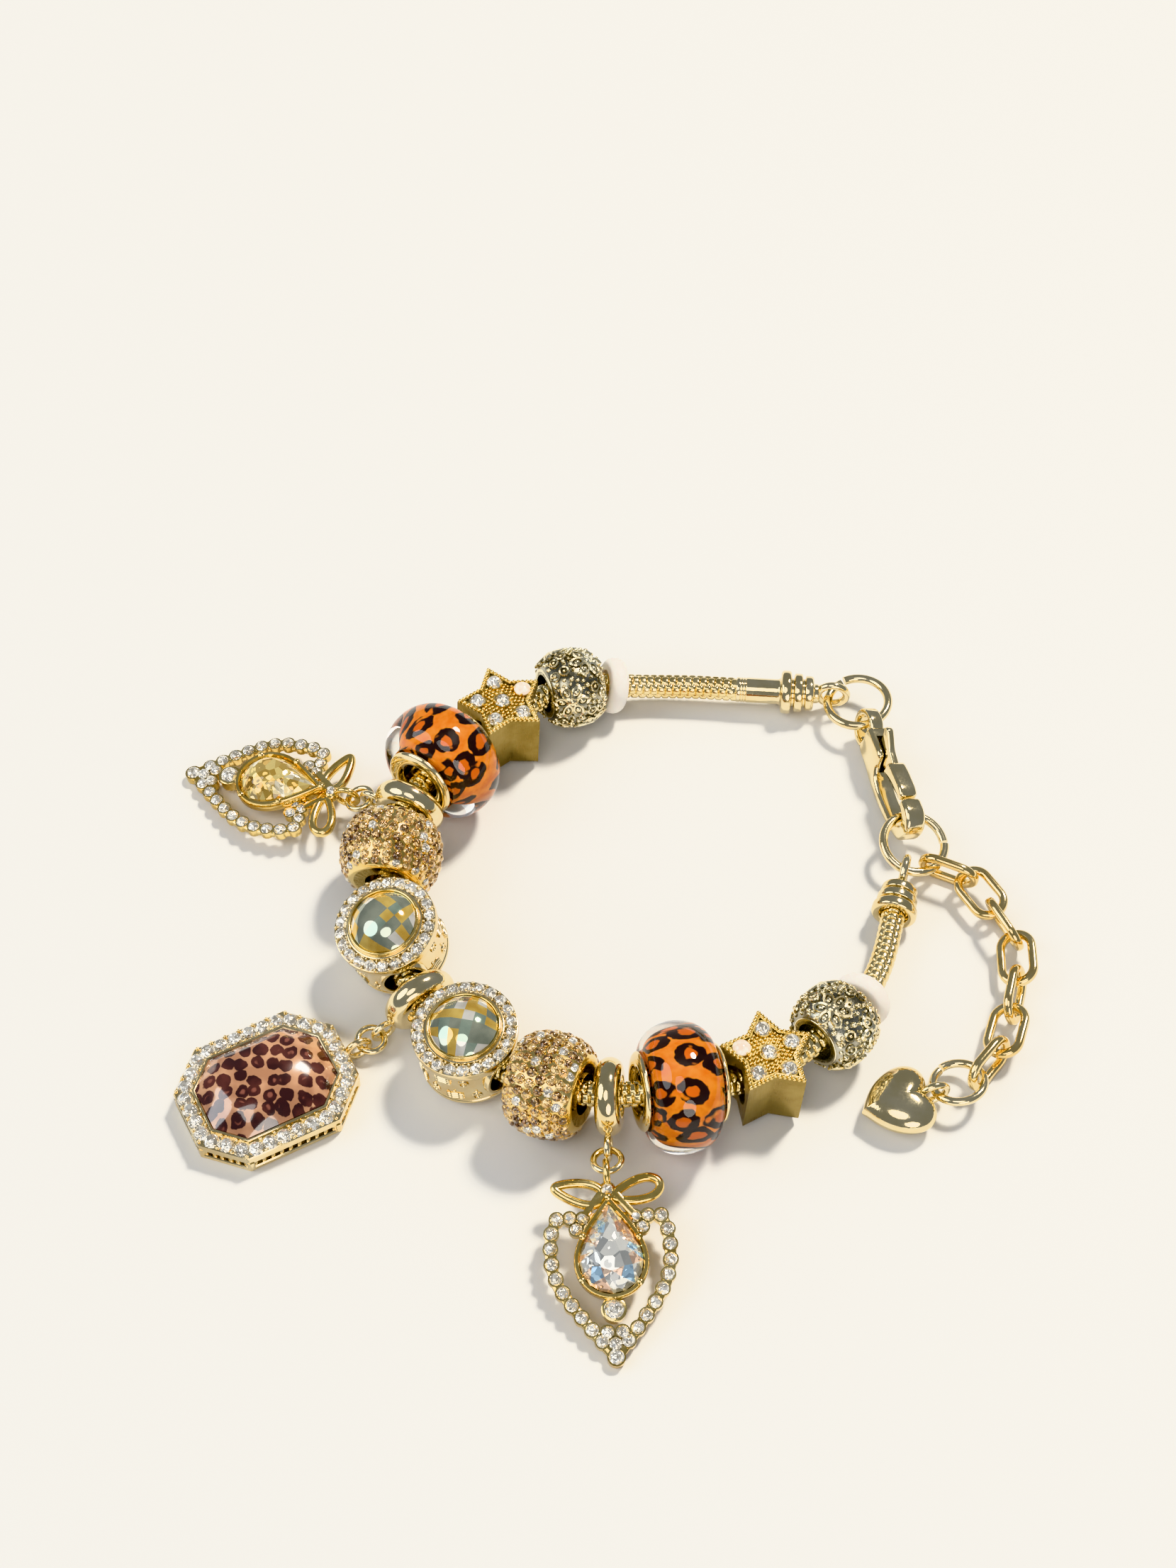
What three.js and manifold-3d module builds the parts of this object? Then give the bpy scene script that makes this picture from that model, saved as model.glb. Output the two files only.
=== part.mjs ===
// A charm bracelet, closed and lying on a table: a snake chain strung with metal, glass and stone-set
// beads, three drop charms on bail rings, a lobster clasp between two jump rings, and an extender chain
// that ends in a puffed heart. Lengths are in millimetres, angles in degrees, and the table is z = 0.
import * as THREE from 'three';
import { mergeVertices } from 'three/addons/utils/BufferGeometryUtils.js';
import Module from 'manifold-3d';

const wasm = await Module();
wasm.setup();

// Snake chain and the bores that slide on it
const chainRadius = 1.45;
const boreClearance = 0.95;
const boreRadius = chainRadius + boreClearance;
const chainHeight = 2.8;      // of its middle above the table at the end caps
const beadGap = 0.3;         // free play between neighbouring beads
const fitGap = 0.3;          // gap where one piece seats on another
const roundSides = 12;

// Silicone stoppers
const stopperRadius = 3.5;
const stopperLength = 2.4;

// Flower balls
const ballRadius = 4.9;
const ballLength = 7.0;
const flowerRadius = 1.55;
const flowerPetals = 5;
const flowerRelief = 0.3;
const flowersPerRow = 3;

// Star beads
const starRadius = 5.5;
const starNotchRadius = 3.3;
const starDepth = 8.2;
const starRimWidth = 0.55;
const starRimHeight = 0.35;
const starStoneRadius = 0.95;
const starStoneReach = 3.05; // from the star's centre to each arm's stone

// Glass beads with a printed sleeve and a flanged core
const glassRadius = 7.45;
const glassLength = 7.9;
const sleeveRadius = 4.3;
const sleeveWall = 0.9;
const coreWall = 0.3;
const flangeRadius = 4.5;
const flangeThickness = 0.65;
const flangeLip = 0.9;       // how much narrower the flange's outer face is

// Bail rings
const bailRadius = 4.4;
const bailWidth = 2.8;
const bailShoulder = 1.2;    // how much narrower the ring is at its two faces
const bailLoopRadius = 1.3;  // centre line of the small loop
const bailLoopWire = 0.38;

// Pave beads
const paveRadius = 6.1;
const paveLength = 8.3;
const paveEndRadius = 3.9;

// Drum beads with a round stone and a halo
const drumRadius = 5.7;
const drumDepth = 7.6;
const haloRadius = 6.05;
const haloPlate = 1.3;
const haloStones = 15;
const haloStoneRadius = 0.78;
const bezelRadius = 4.2;
const bezelWall = 0.3;
const bezelHeight = 0.8;
const roundStoneDome = 1.9;

// End caps
const capRimRadius = 2.7;
const capRidgeRadii = [2.4, 2.15];
const capGrooveRadius = 1.75;
const capRimWidth = 1.3;
const capRidgeWidth = 1.05;
const capGrooveWidth = 0.35;
const capNeckRadius = 1.2;
const capNeckLength = 0.7;
const capSleeveRadius = 1.55;
const capSleeveLength = 5.6;
const capSocketDepth = 1.4;
const capLoopRadius = 1.75;
const capLoopWire = 0.5;

// Jump rings
const jumpRadius = 3.75;
const jumpWire = 0.55;
const jumpSplit = 6;         // degrees of the open split
const endRingRadius = 2.9;
const endRingWire = 0.5;
const dropRingRadius = 1.55;
const dropRingWire = 0.38;
const loopGap = 0.3;         // play of a small ring in a loop that it hangs from

// Lobster clasp
const claspThickness = 2.6;
const claspEyeHole = 1.7;
const claspEyeWall = 0.8;
const claspEyeThickness = 1.7;
const claspHookBar = 1.8;
const claspHalfWidth = 3.0;
const claspSlotWidth = 1.3;
const leverTongue = 0.9;
const leverPinRadius = 0.45;
const leverPinClearance = 0.18;
const leverTipGap = 0.3;
const claspLean = -16;       // lean of the lever side towards the outside

// Extender chain and heart
const linkLength = 7.5;
const linkWidth = 4.7;
const linkWire = 0.54;
const linkGap = 0.36;
const linkTwists = [-82, 12, -72, 20, -68, 18, -74];
const heartWidth = 8.4;
const heartThickness = 4.2;
const heartLoopRadius = 1.6;
const heartLoopWire = 0.42;

// Octagon drop
const octagonLength = 19.6;
const octagonWidth = 15.8;
const octagonCorner = 4.3;
const octagonHeight = 3.0;
const octagonRim = 2.15;
const octagonStoneRise = 2.0;
const octagonHaloRadius = 0.88;
const octagonSlotHeight = 0.9;

// Bow drops with a pear stone in a leaf frame
const leafHalfWidth = 6.5;
const leafLength = 15.2;
const leafBand = 1.3;
const leafThickness = 1.1;
const pearLength = 10.6;
const pearWidth = 7.4;
const pearWall = 0.35;
const pearHeight = 1.9;
const pearStoneRise = 1.9;
const accentStoneRadius = 1.15;
const bowHalfSpan = 6.0;
const bowLoopHeight = 3.2;
const bowRibbon = 0.5;
const bowRise = 3.2;         // from the leaf frame's top to the bow's knot
const dropLoopRadius = 1.35;
const dropLoopWire = 0.38;

// Where the middle bail ring holds the chain
const anchorPlace = [-25.1, -13.8];

// The snake chain's route seen from above, from the end cap beside the clasp round to the other end cap
const planPoints = [
  [12.3, 32.2], [8.0, 32.5], [3.2, 32.7], [-4.0, 32.0], [-9.8, 30.0], [-17.6, 25.0], [-24.4, 16.4],
  [-28.0, 10.0], [-29.4, 3.6], [-28.6, -6.6], anchorPlace, [-19.4, -20.2], [-11.0, -25.7],
  [-4.2, -27.4], [3.0, -27.3], [12.4, -24.2], [20.4, -19.4], [24.8, -14.4], [28.2, -8.0], [30.3, -0.4],
];

// How the heart and the three drops lie: the heading of each and of the ring that it hangs from
const endRingHeading = 205;
const endRingRoll = 16;
const heartHeading = 196;
const octagonHeading = 207.5;
const octagonRingHeading = 220;
const bowDrops = [
  { side: 'a', heading: 165, ringHeading: 160, slope: 7 },
  { side: 'c', heading: 273, ringHeading: 266, slope: 11 },
];

// The extender's route, from the jump ring to the end ring
const extenderRoute = [
  [35.4, 5.4, 3.0], [39.3, 4.2, 2.5], [42.2, -0.6, 2.5], [44.3, -5.2, 2.5], [43.9, -10.3, 2.5],
  [42.4, -15.4, 2.5], [40.6, -20.2, 2.5], [37.2, -23.6, 2.5], [33.5, -26.0, 2.5],
];

const gold = new THREE.MeshStandardMaterial({ color: '#dcb968', metalness: 1, roughness: 0.22 });
const paleGold = new THREE.MeshStandardMaterial({ color: '#e3cd93', metalness: 1, roughness: 0.16 });
const brushedGold = new THREE.MeshStandardMaterial({ color: '#a98d4d', metalness: 1, roughness: 0.42 });
const antiqueGold = new THREE.MeshStandardMaterial({ color: '#b8a064', metalness: 1, roughness: 0.34 });
const silicone = new THREE.MeshStandardMaterial({ color: '#ecdcd2', metalness: 0, roughness: 0.5 });
const clearGlass = new THREE.MeshStandardMaterial({ color: '#f4f2ec', metalness: 0, roughness: 0.03 });
const leopardPrint = new THREE.MeshStandardMaterial({ color: '#e2832c', metalness: 0, roughness: 0.4 });
const champagneStone = new THREE.MeshStandardMaterial({ color: '#d9b25e', metalness: 0, roughness: 0.05 });
const spottedStone = new THREE.MeshStandardMaterial({ color: '#c98d62', metalness: 0, roughness: 0.06 });

const radians = THREE.MathUtils.degToRad;
const vector = (x, y, z) => new THREE.Vector3(x, y, z);
const up = vector(0, 0, 1);

// A unit vector from a heading round the vertical and an angle above the table.
function direction(heading, rise) {
  const flat = Math.cos(radians(rise));
  const [x, y] = [Math.cos(radians(heading)), Math.sin(radians(heading))];
  return vector(flat * x, flat * y, Math.sin(radians(rise)));
}

// A closed geometry as a solid whose faces point out.
function solidOf(geometry) {
  const bare = geometry.index ? geometry.toNonIndexed() : geometry.clone();
  for (const name of Object.keys(bare.attributes)) {
    if (name !== 'position') bare.deleteAttribute(name);
  }
  const merged = mergeVertices(bare, 1e-4);
  const corners = merged.index.array;
  const faces = [];
  for (let i = 0; i < corners.length; i += 3) {
    const [a, b, c] = [corners[i], corners[i + 1], corners[i + 2]];
    if (a !== b && b !== c && c !== a) faces.push(a, b, c);
  }
  const vertProperties = merged.attributes.position.array;
  const made = (list) => new wasm.Manifold(new wasm.Mesh({
    numProp: 3, vertProperties, triVerts: new Uint32Array(list),
  }));
  const solid = made(faces);
  return solid.volume() > 0 ? solid : made(faces.reverse());
}

function geometryOf(solid) {
  const mesh = solid.getMesh();
  const positions = new Float32Array(mesh.numVert * 3);
  for (let i = 0; i < mesh.numVert; i += 1) {
    positions.set(mesh.vertProperties.subarray(i * mesh.numProp, i * mesh.numProp + 3), i * 3);
  }
  const geometry = new THREE.BufferGeometry();
  geometry.setAttribute('position', new THREE.BufferAttribute(positions, 3));
  geometry.setIndex(new THREE.BufferAttribute(new Uint32Array(mesh.triVerts), 1));
  return geometry;
}

const joined = (solids) => solids.reduce((whole, next) => whole.add(next));
const moved = (geometry, x, y, z) => geometry.translate(x, y, z);

// A profile of [radius, height] turned round the x axis, or round the z axis.
function turned(profile, sides, axis = 'x') {
  const lathe = new THREE.LatheGeometry(profile.map(([r, h]) => new THREE.Vector2(r, h)), sides);
  return axis === 'x' ? lathe.rotateZ(-Math.PI / 2) : lathe.rotateX(Math.PI / 2);
}

function roundBar(radius, length, sides, axis) {
  const bar = new THREE.CylinderGeometry(radius, radius, length, sides);
  if (axis === 'x') return bar.rotateZ(Math.PI / 2);
  return axis === 'z' ? bar.rotateX(Math.PI / 2) : bar;
}

// A bead body on the x axis: a bore, flat ends of one radius and a bulged outside.
function bulgedProfile(radius, endRadius, length, bore, steps) {
  const profile = [[bore, -length / 2]];
  for (let i = 0; i <= steps; i += 1) {
    const along = -Math.cos((Math.PI * i) / steps);
    const bulge = Math.sqrt(Math.max(0, 1 - along * along));
    profile.push([endRadius + (radius - endRadius) * bulge, (along * length) / 2]);
  }
  profile.push([bore, length / 2], [bore, -length / 2]);
  return profile;
}

// A cut stone on the z axis with a table and eight crown facets; its foot sinks into the setting.
function cutStone(radius, rise, foot) {
  const table = radius * 0.56;
  const base = radius + ((radius - table) * foot) / rise;
  return turned([[0, -foot], [base, -foot], [table, rise], [0, rise]], 8, 'z');
}

function prism(shape, depth, bottom, curveSegments = 6) {
  const geometry = new THREE.ExtrudeGeometry(shape, { depth, bevelEnabled: false, curveSegments });
  return geometry.translate(0, 0, bottom);
}

function polygonShape(points) {
  return new THREE.Shape(points.map(([x, y]) => new THREE.Vector2(x, y)));
}

// A round wire along a curve.
function wireAlong(curve, radius, sides, steps) {
  const section = new THREE.Shape();
  for (let i = 0; i < sides; i += 1) {
    const turn = (2 * Math.PI * i) / sides;
    const [x, y] = [radius * Math.cos(turn), radius * Math.sin(turn)];
    if (i === 0) section.moveTo(x, y); else section.lineTo(x, y);
  }
  section.closePath();
  return new THREE.ExtrudeGeometry(section, { steps, extrudePath: curve, curveSegments: 1 });
}

class SplitRing extends THREE.Curve {
  constructor(radius, split, offset) {
    super();
    Object.assign(this, { radius, split, offset });
  }

  getPoint(t, target = new THREE.Vector3()) {
    const turn = radians(this.split / 2 + t * (360 - this.split));
    return target.set(this.radius * Math.cos(turn), this.radius * Math.sin(turn), (t - 0.5) * this.offset);
  }
}

class OvalPath extends THREE.Curve {
  constructor(length, width) {
    super();
    Object.assign(this, { length, width });
  }

  // Two half circles joined by straight sides.
  getPoint(t, target = new THREE.Vector3()) {
    const radius = this.width / 2;
    const straight = this.length - this.width;
    const round = Math.PI * radius;
    let s = (t % 1) * (2 * straight + 2 * round);
    if (s < straight) return target.set(s - straight / 2, -radius, 0);
    s -= straight;
    if (s < round) {
      const turn = s / radius;
      return target.set(straight / 2 + radius * Math.sin(turn), -radius * Math.cos(turn), 0);
    }
    s -= round;
    if (s < straight) return target.set(straight / 2 - s, radius, 0);
    const turn = (s - straight) / radius;
    return target.set(-straight / 2 - radius * Math.sin(turn), radius * Math.cos(turn), 0);
  }
}

// A closed oval wire ring, swept once round its path.
function ovalRing(length, width, wire, sides, steps) {
  const positions = [];
  const path = new OvalPath(length - 2 * wire, width - 2 * wire);
  const around = (i, j) => {
    const centre = path.getPoint(i / steps);
    const ahead = path.getPoint((i + 0.01) / steps);
    const tangent = ahead.sub(centre).normalize();
    const side = vector(tangent.y, -tangent.x, 0);
    const turn = (2 * Math.PI * j) / sides;
    return centre.addScaledVector(side, wire * Math.cos(turn)).add(vector(0, 0, wire * Math.sin(turn)));
  };
  for (let i = 0; i < steps; i += 1) {
    for (let j = 0; j < sides; j += 1) {
      const next = (i + 1) % steps;
      const [a, b] = [around(i, j), around(next, j)];
      const [c, d] = [around(next, (j + 1) % sides), around(i, (j + 1) % sides)];
      for (const p of [a, b, c, a, c, d]) positions.push(p.x, p.y, p.z);
    }
  }
  const geometry = new THREE.BufferGeometry();
  return geometry.setAttribute('position', new THREE.Float32BufferAttribute(positions, 3));
}

const bracelet = new THREE.Group();
bracelet.name = 'charm_bracelet';

function addPiece(name, solid, material, pose) {
  const mesh = new THREE.Mesh(geometryOf(solid), material);
  mesh.name = name;
  mesh.applyMatrix4(pose);
  bracelet.add(mesh);
  return mesh;
}

// A frame at a place, with x along one direction and z as near to another as it can be.
function poseAt(place, along, upward, roll = 0) {
  const x = along.clone().normalize();
  const z = upward.clone().addScaledVector(x, -upward.dot(x)).normalize().applyAxisAngle(x, radians(roll));
  const y = z.clone().cross(x);
  return new THREE.Matrix4().makeBasis(x, y, z).setPosition(place);
}

const axisOf = (pose, index) => new THREE.Vector3().setFromMatrixColumn(pose, index);
const placeOf = (pose) => new THREE.Vector3().setFromMatrixPosition(pose);
const within = (pose, x, y, z) => vector(x, y, z).applyMatrix4(pose);

// A smooth curve through its points, with the distance along it at which each point lies.
function curveThrough(points) {
  const curve = new THREE.CatmullRomCurve3(points, false, 'centripetal');
  curve.arcLengthDivisions = 40 * (points.length - 1);
  const lengths = curve.getLengths();
  return { curve, length: curve.getLength(), distances: points.map((_, i) => lengths[40 * i]) };
}
const plan = curveThrough(planPoints.map(([x, y]) => vector(x, y, 0)));

function stopperSolid() {
  const profile = bulgedProfile(stopperRadius, stopperRadius * 0.72, stopperLength, boreRadius * 0.8, 5);
  return solidOf(turned(profile, roundSides));
}

function ballSolid() {
  const endRadius = boreRadius + 0.5;
  let ball = solidOf(turned(bulgedProfile(ballRadius, endRadius, ballLength, boreRadius, 6), roundSides));
  const outline = [];
  for (let i = 0; i < 2 * flowerPetals; i += 1) {
    const reach = i % 2 ? flowerRadius * 0.62 : flowerRadius;
    const turn = (Math.PI * i) / flowerPetals;
    outline.push([reach * Math.cos(turn), reach * Math.sin(turn)]);
  }
  for (const row of [-1, 1]) {
    for (let i = 0; i < flowersPerRow; i += 1) {
      const turn = (360 / flowersPerRow) * (i + (row > 0 ? 0.5 : 0));
      const petals = prism(polygonShape(outline), 1.2, ballRadius + flowerRelief - 1.5);
      petals.rotateY(radians(24 * row));
      petals.rotateX(radians(turn));
      ball = ball.add(solidOf(petals));
    }
  }
  return ball;
}

function starOutline(radius, notch) {
  const points = [];
  for (let i = 0; i < 10; i += 1) {
    const reach = i % 2 ? notch : radius;
    points.push([reach * Math.cos((Math.PI * i) / 5), reach * Math.sin((Math.PI * i) / 5)]);
  }
  return points;
}

// The star's face looks along z and one of its points along x; the bore runs from that point to a notch.
function starSolid() {
  const inset = starRimWidth / Math.sin(radians(40));
  const face = starDepth / 2 - starRimHeight;
  const outline = polygonShape(starOutline(starRadius, starNotchRadius));
  const block = solidOf(prism(outline, starDepth, -starDepth / 2));
  const recess = starOutline(starRadius - inset * 1.4, starNotchRadius - inset * 0.75);
  let star = block.subtract(solidOf(prism(polygonShape(recess), starRimHeight + 0.1, face)));
  for (let i = 0; i <= 5; i += 1) {
    const reach = i < 5 ? starStoneReach : 0;
    const turn = radians(72 * i);
    const stone = cutStone(starStoneRadius, 0.75, 0.3);
    star = star.add(solidOf(moved(stone, reach * Math.cos(turn), reach * Math.sin(turn), face)));
  }
  return star.subtract(solidOf(roundBar(boreRadius, 4 * starRadius, roundSides, 'x')));
}

function glassSolid() {
  const bore = sleeveRadius + fitGap;
  return solidOf(turned(bulgedProfile(glassRadius, flangeRadius, glassLength, bore, 7), roundSides));
}

function sleeveSolid() {
  const half = glassLength / 2 - fitGap / 2;
  const inner = sleeveRadius - sleeveWall;
  const outer = sleeveRadius;
  const profile = [[inner, -half], [outer, -half], [outer, half], [inner, half], [inner, -half]];
  return solidOf(turned(profile, roundSides));
}

// A tube with a rolled flange at each end, seated on the glass bead's flat ends.
function coreSolid() {
  const seat = glassLength / 2 + fitGap;
  const end = seat + flangeThickness;
  const tube = boreRadius + coreWall;
  const half = [[tube, seat], [flangeRadius, seat], [flangeRadius, seat + flangeThickness * 0.6],
    [flangeRadius - flangeLip, end], [boreRadius + 0.5, end - 0.1], [boreRadius, end - 0.5]];
  const other = half.map(([r, h]) => [r, -h]).reverse();
  return solidOf(turned([...half.slice(0, 6), ...other, half[0]], roundSides));
}
const coreHalfLength = glassLength / 2 + fitGap + flangeThickness;

// A rounded ring on the x axis with a small loop on its -z side; the loop's hole runs along x.
function bailSolid() {
  const profile = bulgedProfile(bailRadius, bailRadius - bailShoulder, bailWidth, boreRadius, 4);
  const ring = solidOf(turned(profile, roundSides));
  const loop = new THREE.TorusGeometry(bailLoopRadius, bailLoopWire, 5, 10).rotateY(Math.PI / 2);
  return ring.add(solidOf(moved(loop, 0, 0, -bailLoopReach)))
    .subtract(solidOf(roundBar(boreRadius, 2 * bailWidth, roundSides, 'x')));
}
const bailLoopReach = bailRadius + bailLoopRadius - 0.1;

function paveSolid() {
  return solidOf(turned(bulgedProfile(paveRadius, paveEndRadius, paveLength, boreRadius, 6), roundSides));
}

// The drum's face looks along z and its bore runs along x.
function drumSolid() {
  const top = drumDepth / 2;
  const seat = bezelRadius - bezelWall;
  const profile = [[0, -top], [drumRadius, -top], [drumRadius, top - haloPlate],
    [haloRadius, top - haloPlate], [haloRadius, top], [bezelRadius, top], [bezelRadius, top + bezelHeight],
    [seat, top + bezelHeight],
    [seat, top - 0.4], [0, top - 0.4]];
  let drum = solidOf(turned(profile, 16, 'z'));
  const reach = (haloRadius + bezelRadius) / 2;
  for (let i = 0; i < haloStones; i += 1) {
    const turn = (2 * Math.PI * i) / haloStones;
    const stone = cutStone(haloStoneRadius, 0.6, 0.3);
    drum = drum.add(solidOf(moved(stone, reach * Math.cos(turn), reach * Math.sin(turn), top)));
  }
  return drum.subtract(solidOf(roundBar(boreRadius, 4 * drumRadius, roundSides, 'x')));
}

// A domed round stone cut in rings of facets, seated in the drum's bezel.
function roundStoneSolid() {
  const girdle = bezelRadius - bezelWall - fitGap;
  const foot = drumDepth / 2 - 0.4 + fitGap;
  const shoulder = drumDepth / 2 + bezelHeight - 0.1;
  const profile = [[0, foot], [girdle, foot], [girdle, shoulder],
    [girdle * 0.84, shoulder + roundStoneDome * 0.5],
    [girdle * 0.5, shoulder + roundStoneDome * 0.88], [0, shoulder + roundStoneDome * 0.88]];
  return solidOf(turned(profile, 16, 'z'));
}

// An end cap on the x axis: an optional sleeve, a rim, two ridges, a neck, and a loop with its hole along y.
function capParts(sleeveLength) {
  const profile = [[0, 0]];
  let x = 0;
  const step = (radius, width) => {
    profile.push([radius, x], [radius, x + width]);
    x += width;
  };
  if (sleeveLength > 0) step(capSleeveRadius, sleeveLength);
  step(capRimRadius, capRimWidth);
  for (const radius of capRidgeRadii) {
    step(capGrooveRadius, capGrooveWidth);
    step(radius, capRidgeWidth);
  }
  step(capNeckRadius, capNeckLength);
  profile.push([0, x]);
  const loopCentre = x + capLoopRadius - 0.1;
  const loop = new THREE.TorusGeometry(capLoopRadius, capLoopWire, 5, 12).rotateX(Math.PI / 2);
  let solid = solidOf(turned(profile, 10)).add(solidOf(moved(loop, loopCentre, 0, 0)));
  if (sleeveLength === 0) {
    const socket = roundBar(chainRadius + 0.25, 2 * capSocketDepth, roundSides, 'x');
    solid = solid.subtract(solidOf(socket));
  }
  return { solid, loopCentre };
}

const splitRing = (radius, wire, offset) =>
  solidOf(wireAlong(new SplitRing(radius, jumpSplit, offset), wire, 6, 14));
const closedRing = (radius, wire) => solidOf(new THREE.TorusGeometry(radius, wire, 5, 10));

// Strings the beads on the route outwards from the anchored bail ring.
const starBack = starRadius * Math.cos(radians(36));
const glassLift = 0.35;
const bailDrop = 0.5;
const tableClearance = 0.05; // of a bail ring over the table
const tiltRoom = 0.42;       // extra height of a long bead that lies along the chain's slope
const ballLift = 0.57;       // extra height of a ball for its flowers and its slope
const beadKinds = {
  stopper: {
    ahead: stopperLength / 2, behind: stopperLength / 2, contact: stopperRadius * 0.7, rest: stopperRadius,
  },
  ball: { ahead: ballLength / 2, behind: ballLength / 2, contact: boreRadius, rest: ballRadius + ballLift },
  star: { ahead: starRadius, behind: starBack, contact: starNotchRadius, rest: starDepth / 2 + fitGap },
  glass: {
    ahead: coreHalfLength, behind: coreHalfLength, contact: flangeRadius,
    rest: glassRadius - glassLift + tiltRoom,
  },
  bail: { ahead: bailWidth / 2, behind: bailWidth / 2, contact: bailRadius },
  pave: {
    ahead: paveLength / 2, behind: paveLength / 2, contact: paveEndRadius, rest: paveRadius + tiltRoom / 2,
  },
  drum: { ahead: haloRadius, behind: haloRadius, contact: boreRadius, rest: drumDepth / 2 },
};
// Each bead's roll leans its face to the outside; its lift is its bore's height over the chain's middle.
const strung = [
  { name: 'stopper_a', kind: 'stopper' }, { name: 'flower_ball_a', kind: 'ball' },
  { name: 'star_bead_a', kind: 'star', turnedRound: true },
  { name: 'glass_bead_a', kind: 'glass', lift: glassLift },
  { name: 'bail_ring_a', kind: 'bail', lift: -bailDrop, loopHeight: 4.4 },
  { name: 'pave_bead_a', kind: 'pave' },
  { name: 'drum_bead_a', kind: 'drum', roll: 14, raise: drumRadius * Math.sin(radians(14)) },
  { name: 'bail_ring_b', kind: 'bail', lift: -bailDrop, loopHeight: 1.8 },
  { name: 'drum_bead_b', kind: 'drum', roll: 4, raise: drumRadius * Math.sin(radians(4)) },
  { name: 'pave_bead_b', kind: 'pave' },
  { name: 'bail_ring_c', kind: 'bail', lift: -bailDrop, loopHeight: 4.2 },
  { name: 'glass_bead_b', kind: 'glass', lift: glassLift },
  { name: 'star_bead_b', kind: 'star' },
  { name: 'flower_ball_b', kind: 'ball' }, { name: 'stopper_b', kind: 'stopper' },
];
const anchorBead = strung.findIndex((bead) => bead.name === 'bail_ring_b');

function reachOf(bead, side) {
  const kind = beadKinds[bead.kind];
  return (side === 'ahead') !== Boolean(bead.turnedRound) ? kind.ahead : kind.behind;
}

// The distance between two neighbours' places: both reaches, the play, and what the bend between them takes.
function spacing(bead, next) {
  let step = reachOf(bead, 'ahead') + reachOf(next, 'behind') + beadGap;
  const contact = Math.min(beadKinds[bead.kind].contact, beadKinds[next.kind].contact);
  const [from, sense] = bead.distance === undefined ? [next.distance, -1] : [bead.distance, 1];
  const bend = plan.curve.getTangentAt(from / plan.length)
    .angleTo(plan.curve.getTangentAt((from + sense * step) / plan.length));
  return step + contact * Math.tan(bend);
}
strung[anchorBead].distance = plan.distances[planPoints.indexOf(anchorPlace)];
for (let i = anchorBead + 1; i < strung.length; i += 1) {
  strung[i].distance = strung[i - 1].distance + spacing(strung[i - 1], strung[i]);
}
for (let i = anchorBead - 1; i >= 0; i -= 1) {
  strung[i].distance = strung[i + 1].distance - spacing(strung[i], strung[i + 1]);
}

// The chain rises and falls between the beads' bores: each bead rests on the table, and a bail ring hangs.
const placeOnPlan = (distance, height) => plan.curve.getPointAt(distance / plan.length).setZ(height);
const restOf = (bead) => beadKinds[bead.kind].rest + (bead.raise ?? 0);
const bailHeight = (before, after) =>
  Math.max((restOf(before) + restOf(after)) / 2, bailRadius + bailDrop + tableClearance);
const knots = strung.map((bead, i) => placeOnPlan(bead.distance,
  bead.kind === 'bail' ? bailHeight(strung[i - 1], strung[i + 1]) : restOf(bead)));
const [firstBead, lastBead] = [strung[0].distance, strung[strung.length - 1].distance];
const leadIn = [0, 0.35, 0.7].map((share) => placeOnPlan(firstBead * share, chainHeight));
const leadOut = [0.4, 1].map((share) =>
  placeOnPlan(lastBead + (plan.length - lastBead) * share, chainHeight));
const route = curveThrough([...leadIn, ...knots, ...leadOut]);
strung.forEach((bead, i) => {
  bead.distance = route.distances[leadIn.length + i];
});

// A bead's frame: its bore runs between the chain's points at its two ends.
function beadPose(bead) {
  const behind = route.curve.getPointAt((bead.distance - reachOf(bead, 'behind')) / route.length);
  const ahead = route.curve.getPointAt((bead.distance + reachOf(bead, 'ahead')) / route.length);
  const share = reachOf(bead, 'behind') / (reachOf(bead, 'behind') + reachOf(bead, 'ahead'));
  const middle = route.curve.getPointAt(bead.distance / route.length);
  const place = behind.clone().lerp(ahead, share).lerp(middle, 0.5);
  place.z += bead.lift ?? 0;
  let roll = bead.roll ?? 0;
  if (bead.loopHeight !== undefined) {
    roll = -THREE.MathUtils.radToDeg(Math.acos((place.z - bead.loopHeight) / bailLoopReach));
  }
  const pose = poseAt(place, ahead.sub(behind), up, roll);
  return bead.turnedRound ? pose.multiply(new THREE.Matrix4().makeRotationZ(Math.PI)) : pose;
}

const poses = {};
const [ball, star, glass, sleeve, core, bail, pave, drum, roundStone, stopper] = [
  ballSolid(), starSolid(), glassSolid(), sleeveSolid(), coreSolid(), bailSolid(), paveSolid(), drumSolid(),
  roundStoneSolid(), stopperSolid()];
for (const bead of strung) {
  const pose = beadPose(bead);
  poses[bead.name] = pose;
  const side = bead.name.slice(-2);
  if (bead.kind === 'stopper') addPiece(bead.name, stopper, silicone, pose);
  if (bead.kind === 'ball') addPiece(bead.name, ball, antiqueGold, pose);
  if (bead.kind === 'star') addPiece(bead.name, star, brushedGold, pose);
  if (bead.kind === 'bail') addPiece(bead.name, bail, paleGold, pose);
  if (bead.kind === 'pave') addPiece(bead.name, pave, gold, pose);
  if (bead.kind === 'glass') {
    addPiece(bead.name, glass, clearGlass, pose);
    addPiece(`leopard_sleeve${side}`, sleeve, leopardPrint, pose);
    addPiece(`bead_core${side}`, core, paleGold, pose);
  }
  if (bead.kind === 'drum') {
    addPiece(bead.name, drum, paleGold, pose);
    addPiece(`round_stone${side}`, roundStone, champagneStone, pose);
  }
}

// The snake chain runs inside every bore and stops short of the end caps.
const chainSteps = Math.round(route.length / 2.7);
const chain = solidOf(wireAlong(route.curve, chainRadius, 8, chainSteps));
addPiece('snake_chain', chain, paleGold, new THREE.Matrix4());

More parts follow.
